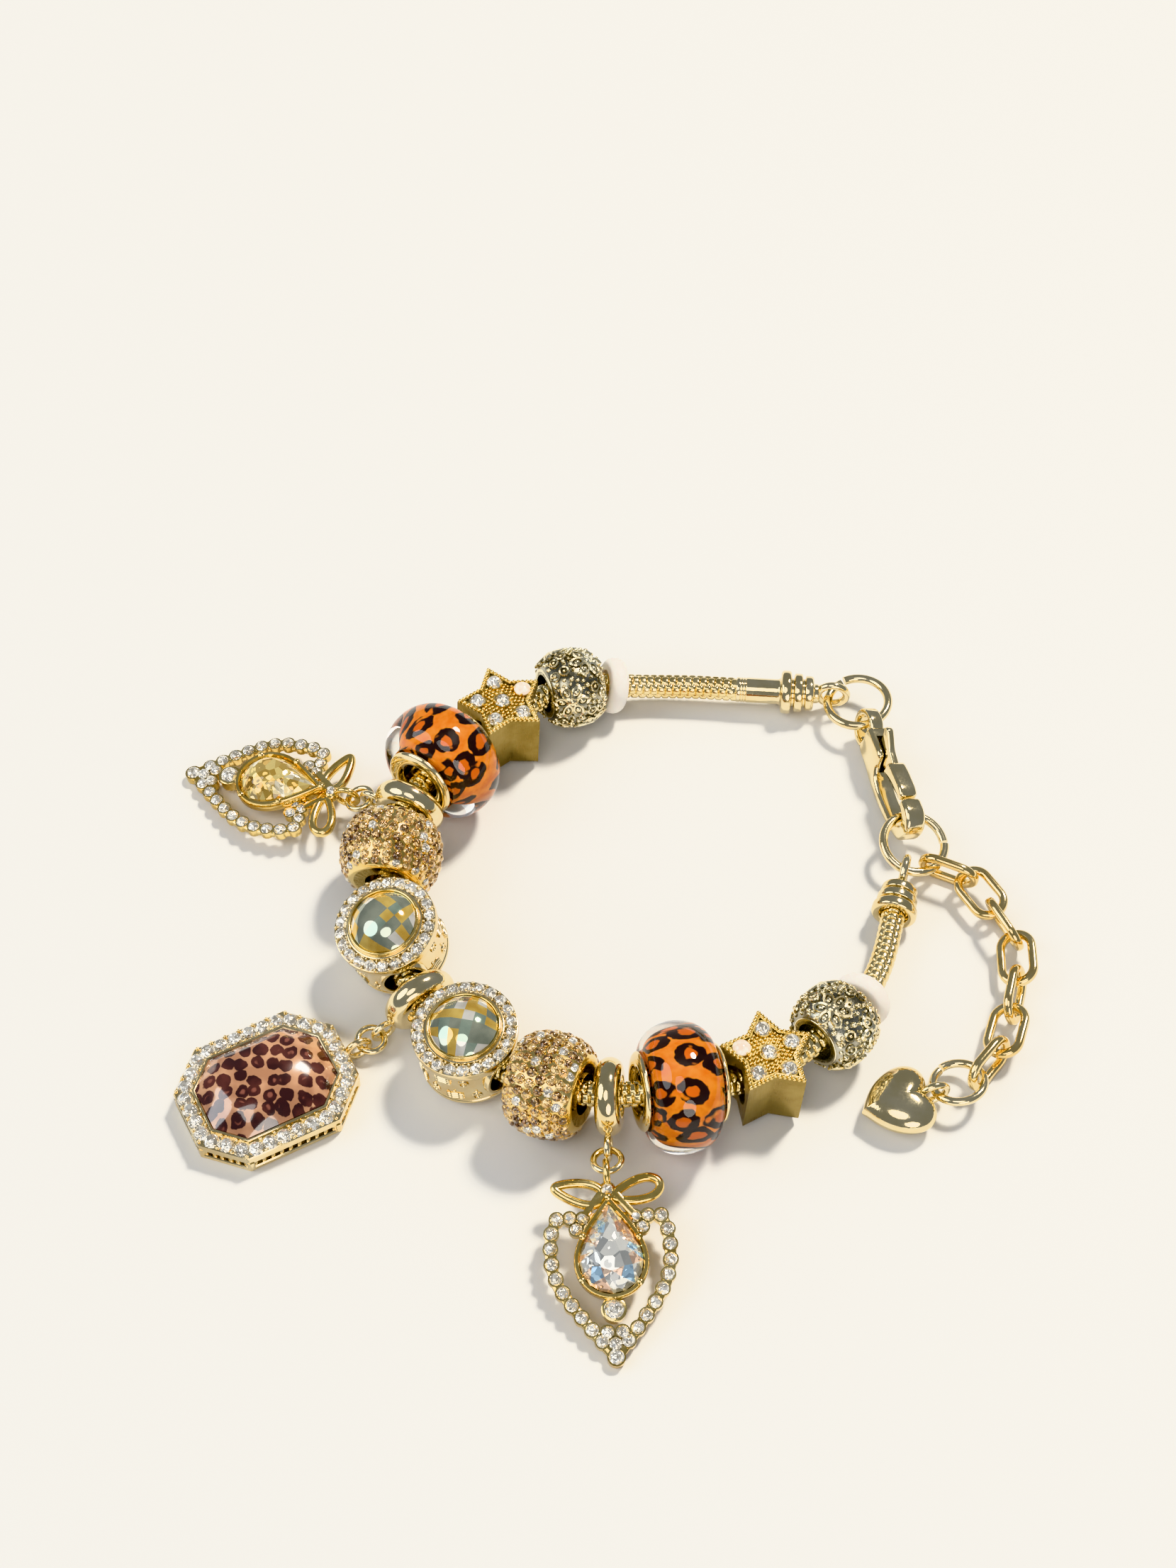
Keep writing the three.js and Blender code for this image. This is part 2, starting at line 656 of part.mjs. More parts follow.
// End caps, in line with the chain's ends
const startOut = route.curve.getTangentAt(0).negate().setZ(0).normalize();
const endOut = route.curve.getTangentAt(1).setZ(0).normalize();
const capA = capParts(capSleeveLength);
const capB = capParts(0);
const capPoseA = poseAt(route.curve.getPointAt(0).addScaledVector(startOut, fitGap), startOut, up);
const capPlaceB = route.curve.getPointAt(1).addScaledVector(endOut, fitGap - capSocketDepth);
const capPoseB = poseAt(capPlaceB, endOut, up);
addPiece('end_cap_a', capA.solid, paleGold, capPoseA);
addPiece('end_cap_b', capB.solid, paleGold, capPoseB);

// A jump ring held in a loop: its wire crosses the loop's hole and its centre lies one radius on.
function heldRingPose(hold, heading, rise, roll, radius) {
  const out = direction(heading, rise);
  return poseAt(hold.clone().addScaledVector(out, radius), out, up, roll);
}
const holdA = within(capPoseA, capA.loopCentre - 0.35, 0, 0);
const holdB = within(capPoseB, capB.loopCentre + 0.35, 0, 0);
const jumpPoseA = heldRingPose(holdA, -24, 6, 0, jumpRadius);
const jumpPoseB = heldRingPose(holdB, 70, 6, 12, jumpRadius);

// The split faces a given heading in the ring's own plane.
function splitTowards(pose, angle) {
  return pose.clone().multiply(new THREE.Matrix4().makeRotationZ(radians(angle)));
}
const jumpSolid = splitRing(jumpRadius, jumpWire, 0.25);
addPiece('jump_ring_a', jumpSolid, paleGold, splitTowards(jumpPoseA, 140));
addPiece('jump_ring_b', jumpSolid, paleGold, splitTowards(jumpPoseB, -65));

// The point of a ring's centre line that lies farthest towards another place.
function wirePointTowards(ringPose, target, radius) {
  const centre = placeOf(ringPose);
  const normal = axisOf(ringPose, 2);
  const toward = target.clone().sub(centre);
  toward.addScaledVector(normal, -toward.dot(normal)).normalize();
  return centre.addScaledVector(toward, radius);
}
const claspTarget = placeOf(jumpPoseA).lerp(placeOf(jumpPoseB), 0.5);
const wireA = wirePointTowards(jumpPoseA, claspTarget, jumpRadius);
const wireB = wirePointTowards(jumpPoseB, claspTarget, jumpRadius);

// The clasp spans the two jump rings: x from its eye to its hook, y to its lever, z through its thickness.
const eyeSlack = claspEyeHole - jumpWire - 0.5;
const claspSpan = wireA.distanceTo(wireB);
const claspAlong = wireB.clone().sub(wireA).normalize();
const claspUp = up.clone().applyAxisAngle(claspAlong, radians(claspLean));
const claspPlace = wireA.clone().addScaledVector(claspAlong, eyeSlack);
const claspFlat = poseAt(claspPlace, claspAlong, claspUp);
const claspPose = claspFlat.clone().multiply(new THREE.Matrix4().makeRotationX(Math.PI / 2));
const hookInside = claspSpan - eyeSlack + jumpWire + 0.7;
const pivot = [hookInside * 0.3, 0.75];
const hookTip = hookInside - 2.0;
const leverTip = hookTip - leverTipGap;

// Outline points of the clasp, as [share of the inside length, share of the half width, extra x].
function claspPoints(table) {
  return table.map(([along, across, extra]) => [hookInside * along + extra, claspHalfWidth * across]);
}

function claspBodySolid() {
  const eye = claspEyeHole + claspEyeWall;
  const outline = [[1.2, -eye * 0.8],
    ...claspPoints([[0.25, -0.72, 0], [0.42, -0.92, 0], [0.6, -1, 0], [0.85, -0.98, 0]]),
    ...claspPoints([[1, -0.72, claspHookBar * 0.5], [1, -0.28, claspHookBar * 0.9],
      [1, 0.2, claspHookBar], [1, 0.62, claspHookBar * 0.6], [1, 0.84, 0]]),
    [hookTip, claspHalfWidth * 0.86], [hookTip, claspHalfWidth * 0.44],
    ...claspPoints([[1, 0.36, -0.9], [1, 0.14, -0.15], [1, -0.1, 0], [1, -0.3, -0.4], [1, -0.54, -1.6]]),
    ...claspPoints([[0.6, -0.58, 0], [0.46, -0.4, 0], [0.4, 0, 0], [0.39, 0.62, 0], [0.2, 0.64, 0]]),
    [1.2, eye * 0.8]];
  const half = claspThickness / 2;
  const body = solidOf(prism(polygonShape(outline), claspThickness, -half));
  const ring = solidOf(roundBar(eye, claspEyeThickness, roundSides, 'z'));
  const hole = solidOf(roundBar(claspEyeHole, 2 * claspThickness, roundSides, 'z'));
  const slotLength = hookInside * 0.3;
  const slot = new THREE.BoxGeometry(slotLength, 2 * claspHalfWidth, claspSlotWidth);
  const slotted = body.add(ring).subtract(hole)
    .subtract(solidOf(moved(slot, hookInside * 0.19 + slotLength / 2, claspHalfWidth - 0.65, 0)));
  const pin = roundBar(leverPinRadius, claspThickness - 0.2, 8, 'z');
  return slotted.add(solidOf(moved(pin, pivot[0], pivot[1], 0)));
}

function claspLeverSolid() {
  const [px, py] = pivot;
  const thumbTab = [[1.4, 0.98], [0.5, 1.2], [-0.7, 1.45], [-1.5, 1.3], [-0.9, 0.8]]
    .map(([x, across]) => [px + x, claspHalfWidth * across]);
  const tongueOutline = [[px - 1.0, py - 0.5], [px, py - 1.1],
    ...claspPoints([[0.53, 0.24, 0], [0.56, 0.8, 0]]), ...thumbTab];
  const armOutline = [...claspPoints([[0.5, 0.2, 0], [0.6, 0.42, 0], [0.72, 0.5, 0]]),
    [leverTip, claspHalfWidth * 0.46], [leverTip, claspHalfWidth * 0.84],
    ...claspPoints([[0.78, 0.96, 0], [0.6, 0.97, 0], [0.5, 0.9, 0]])];
  const armThickness = claspThickness * 0.9;
  const tongue = solidOf(prism(polygonShape(tongueOutline), leverTongue, -leverTongue / 2));
  const arm = solidOf(prism(polygonShape(armOutline), armThickness, -armThickness / 2));
  const hole = roundBar(leverPinRadius + leverPinClearance, 2 * claspThickness, 10, 'z');
  return tongue.add(arm).subtract(solidOf(moved(hole, px, py, 0)));
}
addPiece('clasp_body', claspBodySolid(), paleGold, claspPose);
addPiece('clasp_lever', claspLeverSolid(), paleGold, claspPose);

// Extender: equal links between joints spaced along the route, each turned from the last.
const linkPitch = linkLength - 4 * linkWire - linkGap;
const extender = new THREE.CatmullRomCurve3(extenderRoute.map((p) => vector(...p)), false, 'centripetal');
const extenderHold = wirePointTowards(jumpPoseB, extender.getPoint(0), jumpRadius);

// The next point along the extender's route that lies one pitch from the last joint.
function nextJoint(last, from) {
  let share = from;
  while (share < 1 && extender.getPoint(share).distanceTo(last) < linkPitch) share += 0.002;
  const target = extender.getPoint(Math.min(share, 1));
  const step = target.sub(last).normalize().multiplyScalar(linkPitch);
  return { joint: last.clone().add(step), share };
}
const extenderOut = extenderHold.clone().sub(placeOf(jumpPoseB)).normalize();
const joints = [extenderHold.addScaledVector(extenderOut, -(jumpWire + linkWire + linkGap) / 2)];
let share = 0;
for (let i = 0; i < linkTwists.length; i += 1) {
  const found = nextJoint(joints[i], share);
  joints.push(found.joint);
  share = found.share;
}
const link = solidOf(ovalRing(linkLength, linkWidth, linkWire, 5, 14));
for (let i = 0; i < linkTwists.length; i += 1) {
  const along = joints[i + 1].clone().sub(joints[i]);
  const middle = joints[i].clone().add(joints[i + 1]).multiplyScalar(0.5);
  addPiece(`extender_link_${i + 1}`, link, gold, poseAt(middle, along, up, linkTwists[i]));
}

// The end ring hangs in the last link and the heart's loop in the end ring.
const lastJoint = joints[joints.length - 1];
const endRingOut = direction(endRingHeading, -1);
const lastAlong = lastJoint.clone().sub(joints[joints.length - 2]).normalize();
const endHold = lastJoint.clone().addScaledVector(lastAlong, -(linkWire + endRingWire + 2 * linkGap) / 2);
const endRingPlace = endHold.clone().addScaledVector(endRingOut, endRingRadius);
const endRingPose = poseAt(endRingPlace, endRingOut, up, endRingRoll);
addPiece('end_ring', splitRing(endRingRadius, endRingWire, 0.2), paleGold, splitTowards(endRingPose, -75));

function heartShape(width) {
  const h = width / 2;
  const shape = new THREE.Shape();
  shape.moveTo(0, 0);
  shape.bezierCurveTo(-h * 0.15, h * 0.55, -h * 0.75, h * 0.62, -h * 0.95, h * 0.28);
  shape.bezierCurveTo(-h * 1.25, -h * 0.3, -h * 0.45, -h * 1.0, 0, -h * 1.5);
  shape.bezierCurveTo(h * 0.45, -h * 1.0, h * 1.25, -h * 0.3, h * 0.95, h * 0.28);
  shape.bezierCurveTo(h * 0.75, h * 0.62, h * 0.15, h * 0.55, 0, 0);
  return shape;
}

// The heart points along x from its loop, and its puffed face looks along z.
function heartSolid() {
  const bevel = heartThickness / 2 - 0.2;
  const geometry = new THREE.ExtrudeGeometry(heartShape(heartWidth - 2 * bevel * 0.95), {
    depth: 0.4, bevelEnabled: true, bevelThickness: bevel, bevelSize: bevel * 0.95, bevelSegments: 3,
    curveSegments: 3,
  });
  geometry.translate(0, 0, -0.2).rotateZ(Math.PI / 2);
  const loop = new THREE.TorusGeometry(heartLoopRadius, heartLoopWire, 5, 10).rotateX(Math.PI / 2);
  const heart = solidOf(moved(geometry, heartLoopRadius + 1.5, 0, 0));
  return heart.add(solidOf(loop));
}
const heartOut = direction(heartHeading, -2);
const heartPlay = heartLoopRadius - heartLoopWire - endRingWire - linkGap;
const heartPlace = placeOf(endRingPose).addScaledVector(endRingOut, endRingRadius)
  .addScaledVector(heartOut, heartPlay).setZ(heartThickness / 2 + 0.3);
addPiece('heart_charm', heartSolid(), paleGold, poseAt(heartPlace, heartOut, up, 0));

// A drop ring runs from a bail ring's loop out to the drop's own loop, whose height the drop's rest sets.
function hangDrop(bailName, heading, dropHeight) {
  const bailPose = poses[bailName];
  const outward = axisOf(bailPose, 2).negate();
  const bailPlay = bailLoopRadius - bailLoopWire - dropRingWire - loopGap;
  const hold = placeOf(bailPose).addScaledVector(outward, bailLoopReach + bailPlay);
  const rise = THREE.MathUtils.radToDeg(Math.asin((dropHeight - hold.z) / (2 * dropRingRadius)));
  const ringOut = direction(heading, rise);
  const normal = axisOf(bailPose, 0).cross(ringOut);
  if (normal.z < 0) normal.negate();
  const ringPose = poseAt(hold.clone().addScaledVector(ringOut, dropRingRadius), ringOut, normal);
  const dropPlay = dropLoopRadius - dropLoopWire - dropRingWire - loopGap;
  return { ringPose, place: hold.addScaledVector(ringOut, 2 * dropRingRadius + dropPlay) };
}

// Octagon drop: x runs from its loop down its length, and its face looks along z.
function octagonOutline(length, width, corner) {
  const [l, h] = [length / 2, width / 2];
  return [[l, -h + corner], [l, h - corner], [l - corner, h], [-l + corner, h], [-l, h - corner],
    [-l, -h + corner], [-l + corner, -h], [l - corner, -h]];
}
const octagonCentre = dropLoopRadius + 0.15 + octagonLength / 2;
const octagonLoopHeight = octagonHeight * 0.58;
const octagonSeatLength = octagonLength - 2 * octagonRim;
const octagonSeatWidth = octagonWidth - 2 * octagonRim;
const octagonSeatCorner = octagonCorner - octagonRim * (2 - Math.SQRT2);

function octagonFrameSolid() {
  const outline = polygonShape(octagonOutline(octagonLength, octagonWidth, octagonCorner));
  const outer = prism(outline, octagonHeight, 0);
  const seat = polygonShape(octagonOutline(octagonSeatLength, octagonSeatWidth, octagonSeatCorner));
  let frame = solidOf(outer).subtract(solidOf(prism(seat, 2 * octagonHeight, -octagonHeight / 2)));
  const slotZ = octagonHeight * 0.4;
  const sideSlots = [[-0.3, 2.6], [0, 2.6], [0.3, 2.6]];
  for (const [shareAlong, length] of sideSlots) {
    const slot = new THREE.BoxGeometry(length, 2 * octagonWidth, octagonSlotHeight);
    frame = frame.subtract(solidOf(moved(slot, shareAlong * octagonSeatLength, 0, slotZ)));
  }
  const endSlot = new THREE.BoxGeometry(2 * octagonLength, octagonSeatWidth * 0.32, octagonSlotHeight);
  frame = frame.subtract(solidOf(moved(endSlot, 0, 0, slotZ)));
  const middle = octagonOutline(octagonLength - octagonRim, octagonWidth - octagonRim,
    octagonCorner - (octagonRim / 2) * (2 - Math.SQRT2));
  for (let i = 0; i < 8; i += 1) {
    const [x0, y0] = middle[i];
    const [x1, y1] = middle[(i + 1) % 8];
    const count = Math.max(1, Math.round(Math.hypot(x1 - x0, y1 - y0) / (2 * octagonHaloRadius + 0.1)));
    for (let j = 0; j < count; j += 1) {
      const t = (j + 0.5) / count;
      const [x, y] = [x0 + (x1 - x0) * t, y0 + (y1 - y0) * t];
      frame = frame.add(solidOf(moved(cutStone(octagonHaloRadius, 0.6, 0.3), x, y, octagonHeight)));
    }
  }
  frame = frame.translate([octagonCentre, 0, 0]);
  const loop = new THREE.TorusGeometry(dropLoopRadius, dropLoopWire, 5, 10).rotateX(Math.PI / 2);
  return frame.add(solidOf(moved(loop, 0, 0, octagonLoopHeight)));
}

const stoneReach = octagonLength; // farther than any stone reaches from its drop's loop

// A faceted block: a table, two rings of crown facets and the same below, from its outline at the girdle.
function facetedBlock(shape, depth, rise, inset, curveSegments) {
  return new THREE.ExtrudeGeometry(shape, {
    depth, bevelEnabled: true, bevelThickness: rise, bevelSize: inset, bevelOffset: -inset, bevelSegments: 2,
    curveSegments,
  });
}

function octagonStoneSolid() {
  const gap = 0.15;
  const outline = polygonShape(octagonOutline(octagonSeatLength - 2 * gap, octagonSeatWidth - 2 * gap,
    octagonSeatCorner - gap));
  const girdle = 0.8;
  const stone = facetedBlock(outline, girdle, octagonStoneRise, 1.9, 1);
  const keep = new THREE.BoxGeometry(4 * stoneReach, 4 * stoneReach, 2 * stoneReach);
  const foot = octagonHeight * 0.62;
  return solidOf(moved(stone, octagonCentre, 0, octagonHeight - 0.5))
    .intersect(solidOf(moved(keep, 0, 0, foot + stoneReach)));
}

const octagonDrop = hangDrop('bail_ring_b', octagonRingHeading, octagonLoopHeight);
const dropRing = closedRing(dropRingRadius, dropRingWire);
addPiece('drop_ring_b', dropRing, paleGold, octagonDrop.ringPose);
const octagonPose = poseAt(octagonDrop.place.setZ(0), direction(octagonHeading, 0), up);
addPiece('octagon_frame', octagonFrameSolid(), paleGold, octagonPose);
addPiece('octagon_stone', octagonStoneSolid(), spottedStone, octagonPose);

// Bow drop: x runs from its loop down to the leaf's tip, y across, z out of its face.
const leafTop = dropLoopRadius + 0.2 + bowRise;
const leafTable = [
  [0, 0.86], [0.1, 0.97], [0.22, 1], [0.36, 0.99], [0.5, 0.89], [0.64, 0.68], [0.8, 0.4], [1, 0.02],
];
function leafPoint(along) {
  const next = leafTable.findIndex(([a]) => a >= along - 1e-9);
  const [a1, y1] = leafTable[Math.max(next, 1)];
  const [a0, y0] = leafTable[Math.max(next, 1) - 1];
  return [leafTop + leafLength * along, leafHalfWidth * (y0 + ((y1 - y0) * (along - a0)) / (a1 - a0))];
}

function pearShape(length, width) {
  const [r, tip] = [width / 2, length - width / 2];
  const shape = new THREE.Shape();
  shape.moveTo(-tip, 0);
  shape.bezierCurveTo(-tip * 0.62, -r * 0.55, -r * 0.6, -r, 0, -r);
  shape.bezierCurveTo(r * 0.55, -r, r, -r * 0.55, r, 0);
  shape.bezierCurveTo(r, r * 0.55, r * 0.55, r, 0, r);
  shape.bezierCurveTo(-r * 0.6, r, -tip * 0.62, r * 0.55, -tip, 0);
  return shape;
}
const pearCentre = leafTop + pearLength - pearWidth / 2 - 1.6;

function bowFrameSolid() {
  const outer = [];
  const inner = [];
  for (let i = 0; i <= 8; i += 1) {
    const [x, y] = leafPoint(i / 8);
    outer.push([x + (i === 8 ? leafBand * 0.8 : 0), y + (i === 8 ? 0.3 : leafBand / 2)]);
    inner.push([x - (i === 8 ? leafBand * 1.1 : 0), Math.max(0.05, y - leafBand / 2)]);
  }
  const ring = polygonShape([...outer, ...outer.map(([x, y]) => [x, -y]).reverse()]);
  const hole = polygonShape([...inner.map(([x, y], i) => [x + (i === 0 ? leafBand : 0), y]),
    ...inner.map(([x, y], i) => [x + (i === 0 ? leafBand : 0), -y]).reverse()]);
  let frame = solidOf(prism(ring, leafThickness, 0))
    .subtract(solidOf(prism(hole, 3 * leafThickness, -leafThickness)));
  for (const side of [-1, 1]) {
    const loopCentre = side * (bowHalfSpan * 0.52);
    const ribbon = ovalRing(bowHalfSpan * 0.98, bowLoopHeight, bowRibbon, 5, 12);
    ribbon.rotateZ(radians(90 + side * 14));
    frame = frame.add(solidOf(moved(ribbon, leafTop - bowRise + 0.5, loopCentre, leafThickness * 0.7)));
    const tail = new THREE.BoxGeometry(3.4, 0.9, 0.8).rotateZ(radians(side * 38));
    frame = frame.add(solidOf(moved(tail, leafTop - bowRise * 0.3, side * 1.9, leafThickness * 0.7)));
  }
  const knot = new THREE.BoxGeometry(2.0, 1.6, 1.7);
  const spine = new THREE.BoxGeometry(bowRise + 1.2, 1.2, 1.0);
  const cup = solidOf(moved(prism(pearShape(pearLength + 0.7, pearWidth + 2 * pearWall), pearHeight, 0, 4),
    pearCentre, 0, leafThickness * 0.4));
  const seat = solidOf(moved(prism(pearShape(pearLength, pearWidth), pearHeight, 0, 4),
    pearCentre, 0, leafThickness * 0.4 + 0.5));
  const accentX = pearCentre + pearWidth / 2 + pearWall + accentStoneRadius * 0.9;
  const accent = cutStone(accentStoneRadius, 0.8, 1.3);
  const bridge = new THREE.BoxGeometry(leafTop + leafLength - accentX + 1.5, 1.3, leafThickness);
  const loop = new THREE.TorusGeometry(dropLoopRadius, dropLoopWire, 5, 10).rotateX(Math.PI / 2);
  return joined([frame, cup,
    solidOf(moved(knot, leafTop - bowRise + 0.4, 0, leafThickness * 0.7)),
    solidOf(moved(spine, leafTop - bowRise * 0.4, 0, leafThickness * 0.6)),
    solidOf(moved(accent, accentX, 0, leafThickness + 0.5)),
    solidOf(moved(bridge, (leafTop + leafLength + accentX - 1) / 2, 0, leafThickness / 2)),
    solidOf(moved(loop, 0, 0, leafThickness * 0.7))]).subtract(seat);
}

function pearStoneSolid() {
  const gap = 0.25;
  const shape = pearShape(pearLength - 2 * gap - 0.3, pearWidth - 2 * gap);
  const stone = facetedBlock(shape, 0.6, pearStoneRise, 1.7, 3);
  const keep = new THREE.BoxGeometry(4 * stoneReach, 4 * stoneReach, 2 * stoneReach);
  const foot = leafThickness * 0.4 + 0.5 + 0.15;
  return solidOf(moved(stone, pearCentre, 0, foot + 0.3))
    .intersect(solidOf(moved(keep, 0, 0, foot + stoneReach)));
}

const bowFrame = bowFrameSolid();
const pearStone = pearStoneSolid();
for (const { side, heading, ringHeading, slope } of bowDrops) {
  const below = leafThickness * 0.7;
  const reach = leafTop + leafLength + leafBand;
  const height = reach * Math.sin(radians(slope)) + below * Math.cos(radians(slope));
  const drop = hangDrop(`bail_ring_${side}`, ringHeading, height);
  addPiece(`drop_ring_${side}`, dropRing, paleGold, drop.ringPose);
  const pose = poseAt(drop.place.setZ(height), direction(heading, -slope), up)
    .multiply(new THREE.Matrix4().makeTranslation(0, 0, -below));
  addPiece(`bow_frame_${side}`, bowFrame, gold, pose);
  addPiece(`pear_stone_${side}`, pearStone, champagneStone, pose);
}

// The origin is under the middle of the bracelet's box, on the table.
bracelet.updateMatrixWorld(true);
const box = new THREE.Box3().setFromObject(bracelet, true);
const centre = box.getCenter(new THREE.Vector3());
bracelet.position.set(-centre.x, -centre.y, -box.min.z);
bracelet.updateMatrixWorld(true);

export default bracelet;
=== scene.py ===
import math
import random

import bmesh
import bpy
import numpy as np
from mathutils import Matrix, Vector


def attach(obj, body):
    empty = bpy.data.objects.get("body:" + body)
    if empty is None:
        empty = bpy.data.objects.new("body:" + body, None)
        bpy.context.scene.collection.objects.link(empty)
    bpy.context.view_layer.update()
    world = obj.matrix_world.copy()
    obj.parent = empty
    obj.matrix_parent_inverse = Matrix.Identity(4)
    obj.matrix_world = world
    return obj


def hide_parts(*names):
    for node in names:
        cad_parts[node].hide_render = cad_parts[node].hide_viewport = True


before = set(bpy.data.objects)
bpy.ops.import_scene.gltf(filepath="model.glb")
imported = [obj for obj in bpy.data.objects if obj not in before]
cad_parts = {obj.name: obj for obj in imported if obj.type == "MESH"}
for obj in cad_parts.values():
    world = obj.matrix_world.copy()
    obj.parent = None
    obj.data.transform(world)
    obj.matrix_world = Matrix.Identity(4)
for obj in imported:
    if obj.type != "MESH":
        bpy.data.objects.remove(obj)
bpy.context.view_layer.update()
dice = random.Random(7)
millimetre = 0.001
print("stage: frame loaded")

# Each node's frame: place in millimetres, then heading, rise and roll in degrees
places = {
    "stopper_a": (1.784, 42.771, 3.531, -170.4, 15.87, 0),
    "flower_ball_a": (-3.522, 41.215, 5.127, -158.36, 7.08, 0),
    "star_bead_a": (-11.943, 36.195, 4.854, 38.64, -3.27, 0),
    "glass_bead_a": (-18.892, 28.318, 7.45, -125.37, 6.42, 0),
    "bail_ring_a": (-22.694, 22.293, 6.427, -114.98, -5.82, -68.78),
    "pave_bead_a": (-24.553, 15.645, 6.292, -98.27, -5.58, 0),
    "drum_bead_a": (-23.807, 4.506, 5.284, -75.13, -3.4, 14),
    "bail_ring_b": (-20.574, -3.245, 4.434, -56.41, -3.81, -61.94),
    "drum_bead_b": (-14.911, -9.286, 4.576, -41.28, 2.37, 4),
    "pave_bead_b": (-5.506, -15.332, 6.207, -21.31, 8.59, 0),
    "bail_ring_c": (1.049, -16.918, 6.427, -4.24, 5.39, -66.56),
    "glass_bead_b": (8.716, -16.304, 7.462, 11.04, -6.97, 0),
    "star_bead_b": (18.505, -12.729, 4.851, 28.76, -3.35, 0),
    "flower_ball_b": (26.618, -7.035, 5.119, 44.8, -7.46, 0),
    "stopper_b": (30.02, -2.777, 3.533, 58.37, -15.12, 0),
    "snake_chain": (0, 0, 0, 0, 0, 0),
    "end_cap_a": (17.115, 42.726, 2.8, -3.93, 0, 0),
    "end_cap_b": (34.516, 9.088, 2.8, 74.22, 0, 0),
    "jump_ring_a": (32.194, 40.408, 3.192, 115.84, -4.59, -3.87),
    "jump_ring_b": (37.641, 19.137, 3.192, 6.4, -8.23, 10.6),
    "clasp_body": (33.269, 36.15, 3.457, -75.21, 2, 74),
    "clasp_lever": (33.269, 36.15, 3.457, -75.21, 2, 74),
    "extender_link_1": (41.607, 15.707, 2.496, -24.21, -0.07, -82),
    "extender_link_2": (45.173, 12.559, 2.495, -58.66, 0.05, 12),
    "extender_link_3": (47.565, 8.198, 2.499, -63.84, 0.03, -72),
    "extender_link_4": (48.607, 3.473, 2.5, -91.28, 0, 20),
    "extender_link_5": (47.906, -1.421, 2.5, -105.02, 0, -68),
    "extender_link_6": (46.475, -6.189, 2.5, -108.39, 0, 18),
    "extender_link_7": (44.105, -10.472, 2.5, -129.54, 0, -74),
    "end_ring": (40.452, -12.939, 2.449, 130.31, -15.71, 3.24),
    "heart_charm": (37.516, -14.252, 2.4, -164, -2, 0),
    "drop_ring_b": (-26.156, -6.941, 1.717, -140, 0.87, -3.93),
    "octagon_frame": (-27.565, -8.123, 0, -152.5, 0, 0),
    "drop_ring_a": (-28.922, 25.29, 3.839, 160, -18.24, -4),
    "bow_frame_a": (-30.473, 25.863, 2.59, 165, -7, 0),
    "drop_ring_c": (0.765, -23.784, 4.463, -94, 12.97, 5.2),
    "bow_frame_c": (0.633, -25.426, 4.055, -87, -11, 0),
}
sharedPlaces = {
    "leopard_sleeve": "glass_bead", "bead_core": "glass_bead", "round_stone": "drum_bead",
    "octagon_stone": "octagon_frame", "pear_stone": "bow_frame",
}


def placeOf(node):
    for start, other in sharedPlaces.items():
        if node.startswith(start):
            node = other if node == "octagon_stone" else other + node[-2:]
    x, y, z, heading, rise, roll = places[node]
    heading, rise, roll = map(math.radians, (heading, rise, roll))
    along = np.array([math.cos(rise) * math.cos(heading), math.cos(rise) * math.sin(heading), math.sin(rise)])
    flat = unit(np.array([0, 0, 1]) - along[2] * along)
    face = flat * math.cos(roll) + np.cross(along, flat) * math.sin(roll)
    return frameAt(np.array([x, y, z]) * millimetre, face, along)


def unit(vector):
    vector = np.asarray(vector, float)
    return vector / np.linalg.norm(vector)


def frameAt(place, out=(0, 0, 1), along=(1, 0, 0)):
    z = unit(out)
    x = unit(np.asarray(along, float) - np.dot(along, z) * z)
    pose = np.eye(4)
    pose[:3, 0], pose[:3, 1], pose[:3, 2], pose[:3, 3] = x, np.cross(z, x), z, place
    return pose


# Shapes are pairs of points and faces, in millimetres in their piece's own frame

def circle(radius, count):
    turns = 2 * math.pi * np.arange(count) / count
    return np.stack([radius * np.cos(turns), radius * np.sin(turns)], 1)


def bands(rings, sides, closed=False):  # four-sided faces between rings of points
    return [(i * sides + j, i * sides + (j + 1) % sides,
             (i + 1) % rings * sides + (j + 1) % sides, (i + 1) % rings * sides + j)
            for i in range(rings if closed else rings - 1) for j in range(sides)]


def lathe(profile, sides=48, axis="z"):
    points = []
    for radius, height in profile:
        flat, level = circle(radius, sides), np.full((sides, 1), height)
        points.append(np.hstack([flat, level] if axis == "z" else [level, flat]))
    return np.concatenate(points), bands(len(profile), sides)


def rounded(profile, radius, steps=3):
    profile = [np.array(p, float) for p in profile]
    made = [profile[0]]
    for before, corner, after in zip(profile, profile[1:], profile[2:]):
        back, ahead = before - corner, after - corner
        reach = min(radius, 0.45 * np.linalg.norm(back), 0.45 * np.linalg.norm(ahead))
        start, end = corner + unit(back) * reach, corner + unit(ahead) * reach
        for i in range(steps + 1):
            t = i / steps
            made.append((1 - t) ** 2 * start + 2 * t * (1 - t) * corner + t ** 2 * end)
    return made + [profile[-1]]


def bulged(sizes, steps=20):
    half = sizes["length"] / 2
    turns = np.linspace(0, math.pi, steps + 1)
    rise = sizes["radius"] - sizes["endRadius"]
    outside = [(sizes["endRadius"] + rise * math.sin(t), -half * math.cos(t)) for t in turns]
    return [(sizes["bore"], -half), *outside, (sizes["bore"], half), (sizes["bore"], -half)]


def onBulge(sizes, t, turn, sink=0.0):
    rise, half = sizes["radius"] - sizes["endRadius"], sizes["length"] / 2
    radius = sizes["endRadius"] + rise * math.sin(t)
    along, out = unit((-rise * math.cos(t), half * math.sin(t)))
    normal = np.array([along, out * math.cos(turn), out * math.sin(turn)])
    place = np.array([-half * math.cos(t), radius * math.cos(turn), radius * math.sin(turn)])
    return frameAt(place - sink * normal, normal)


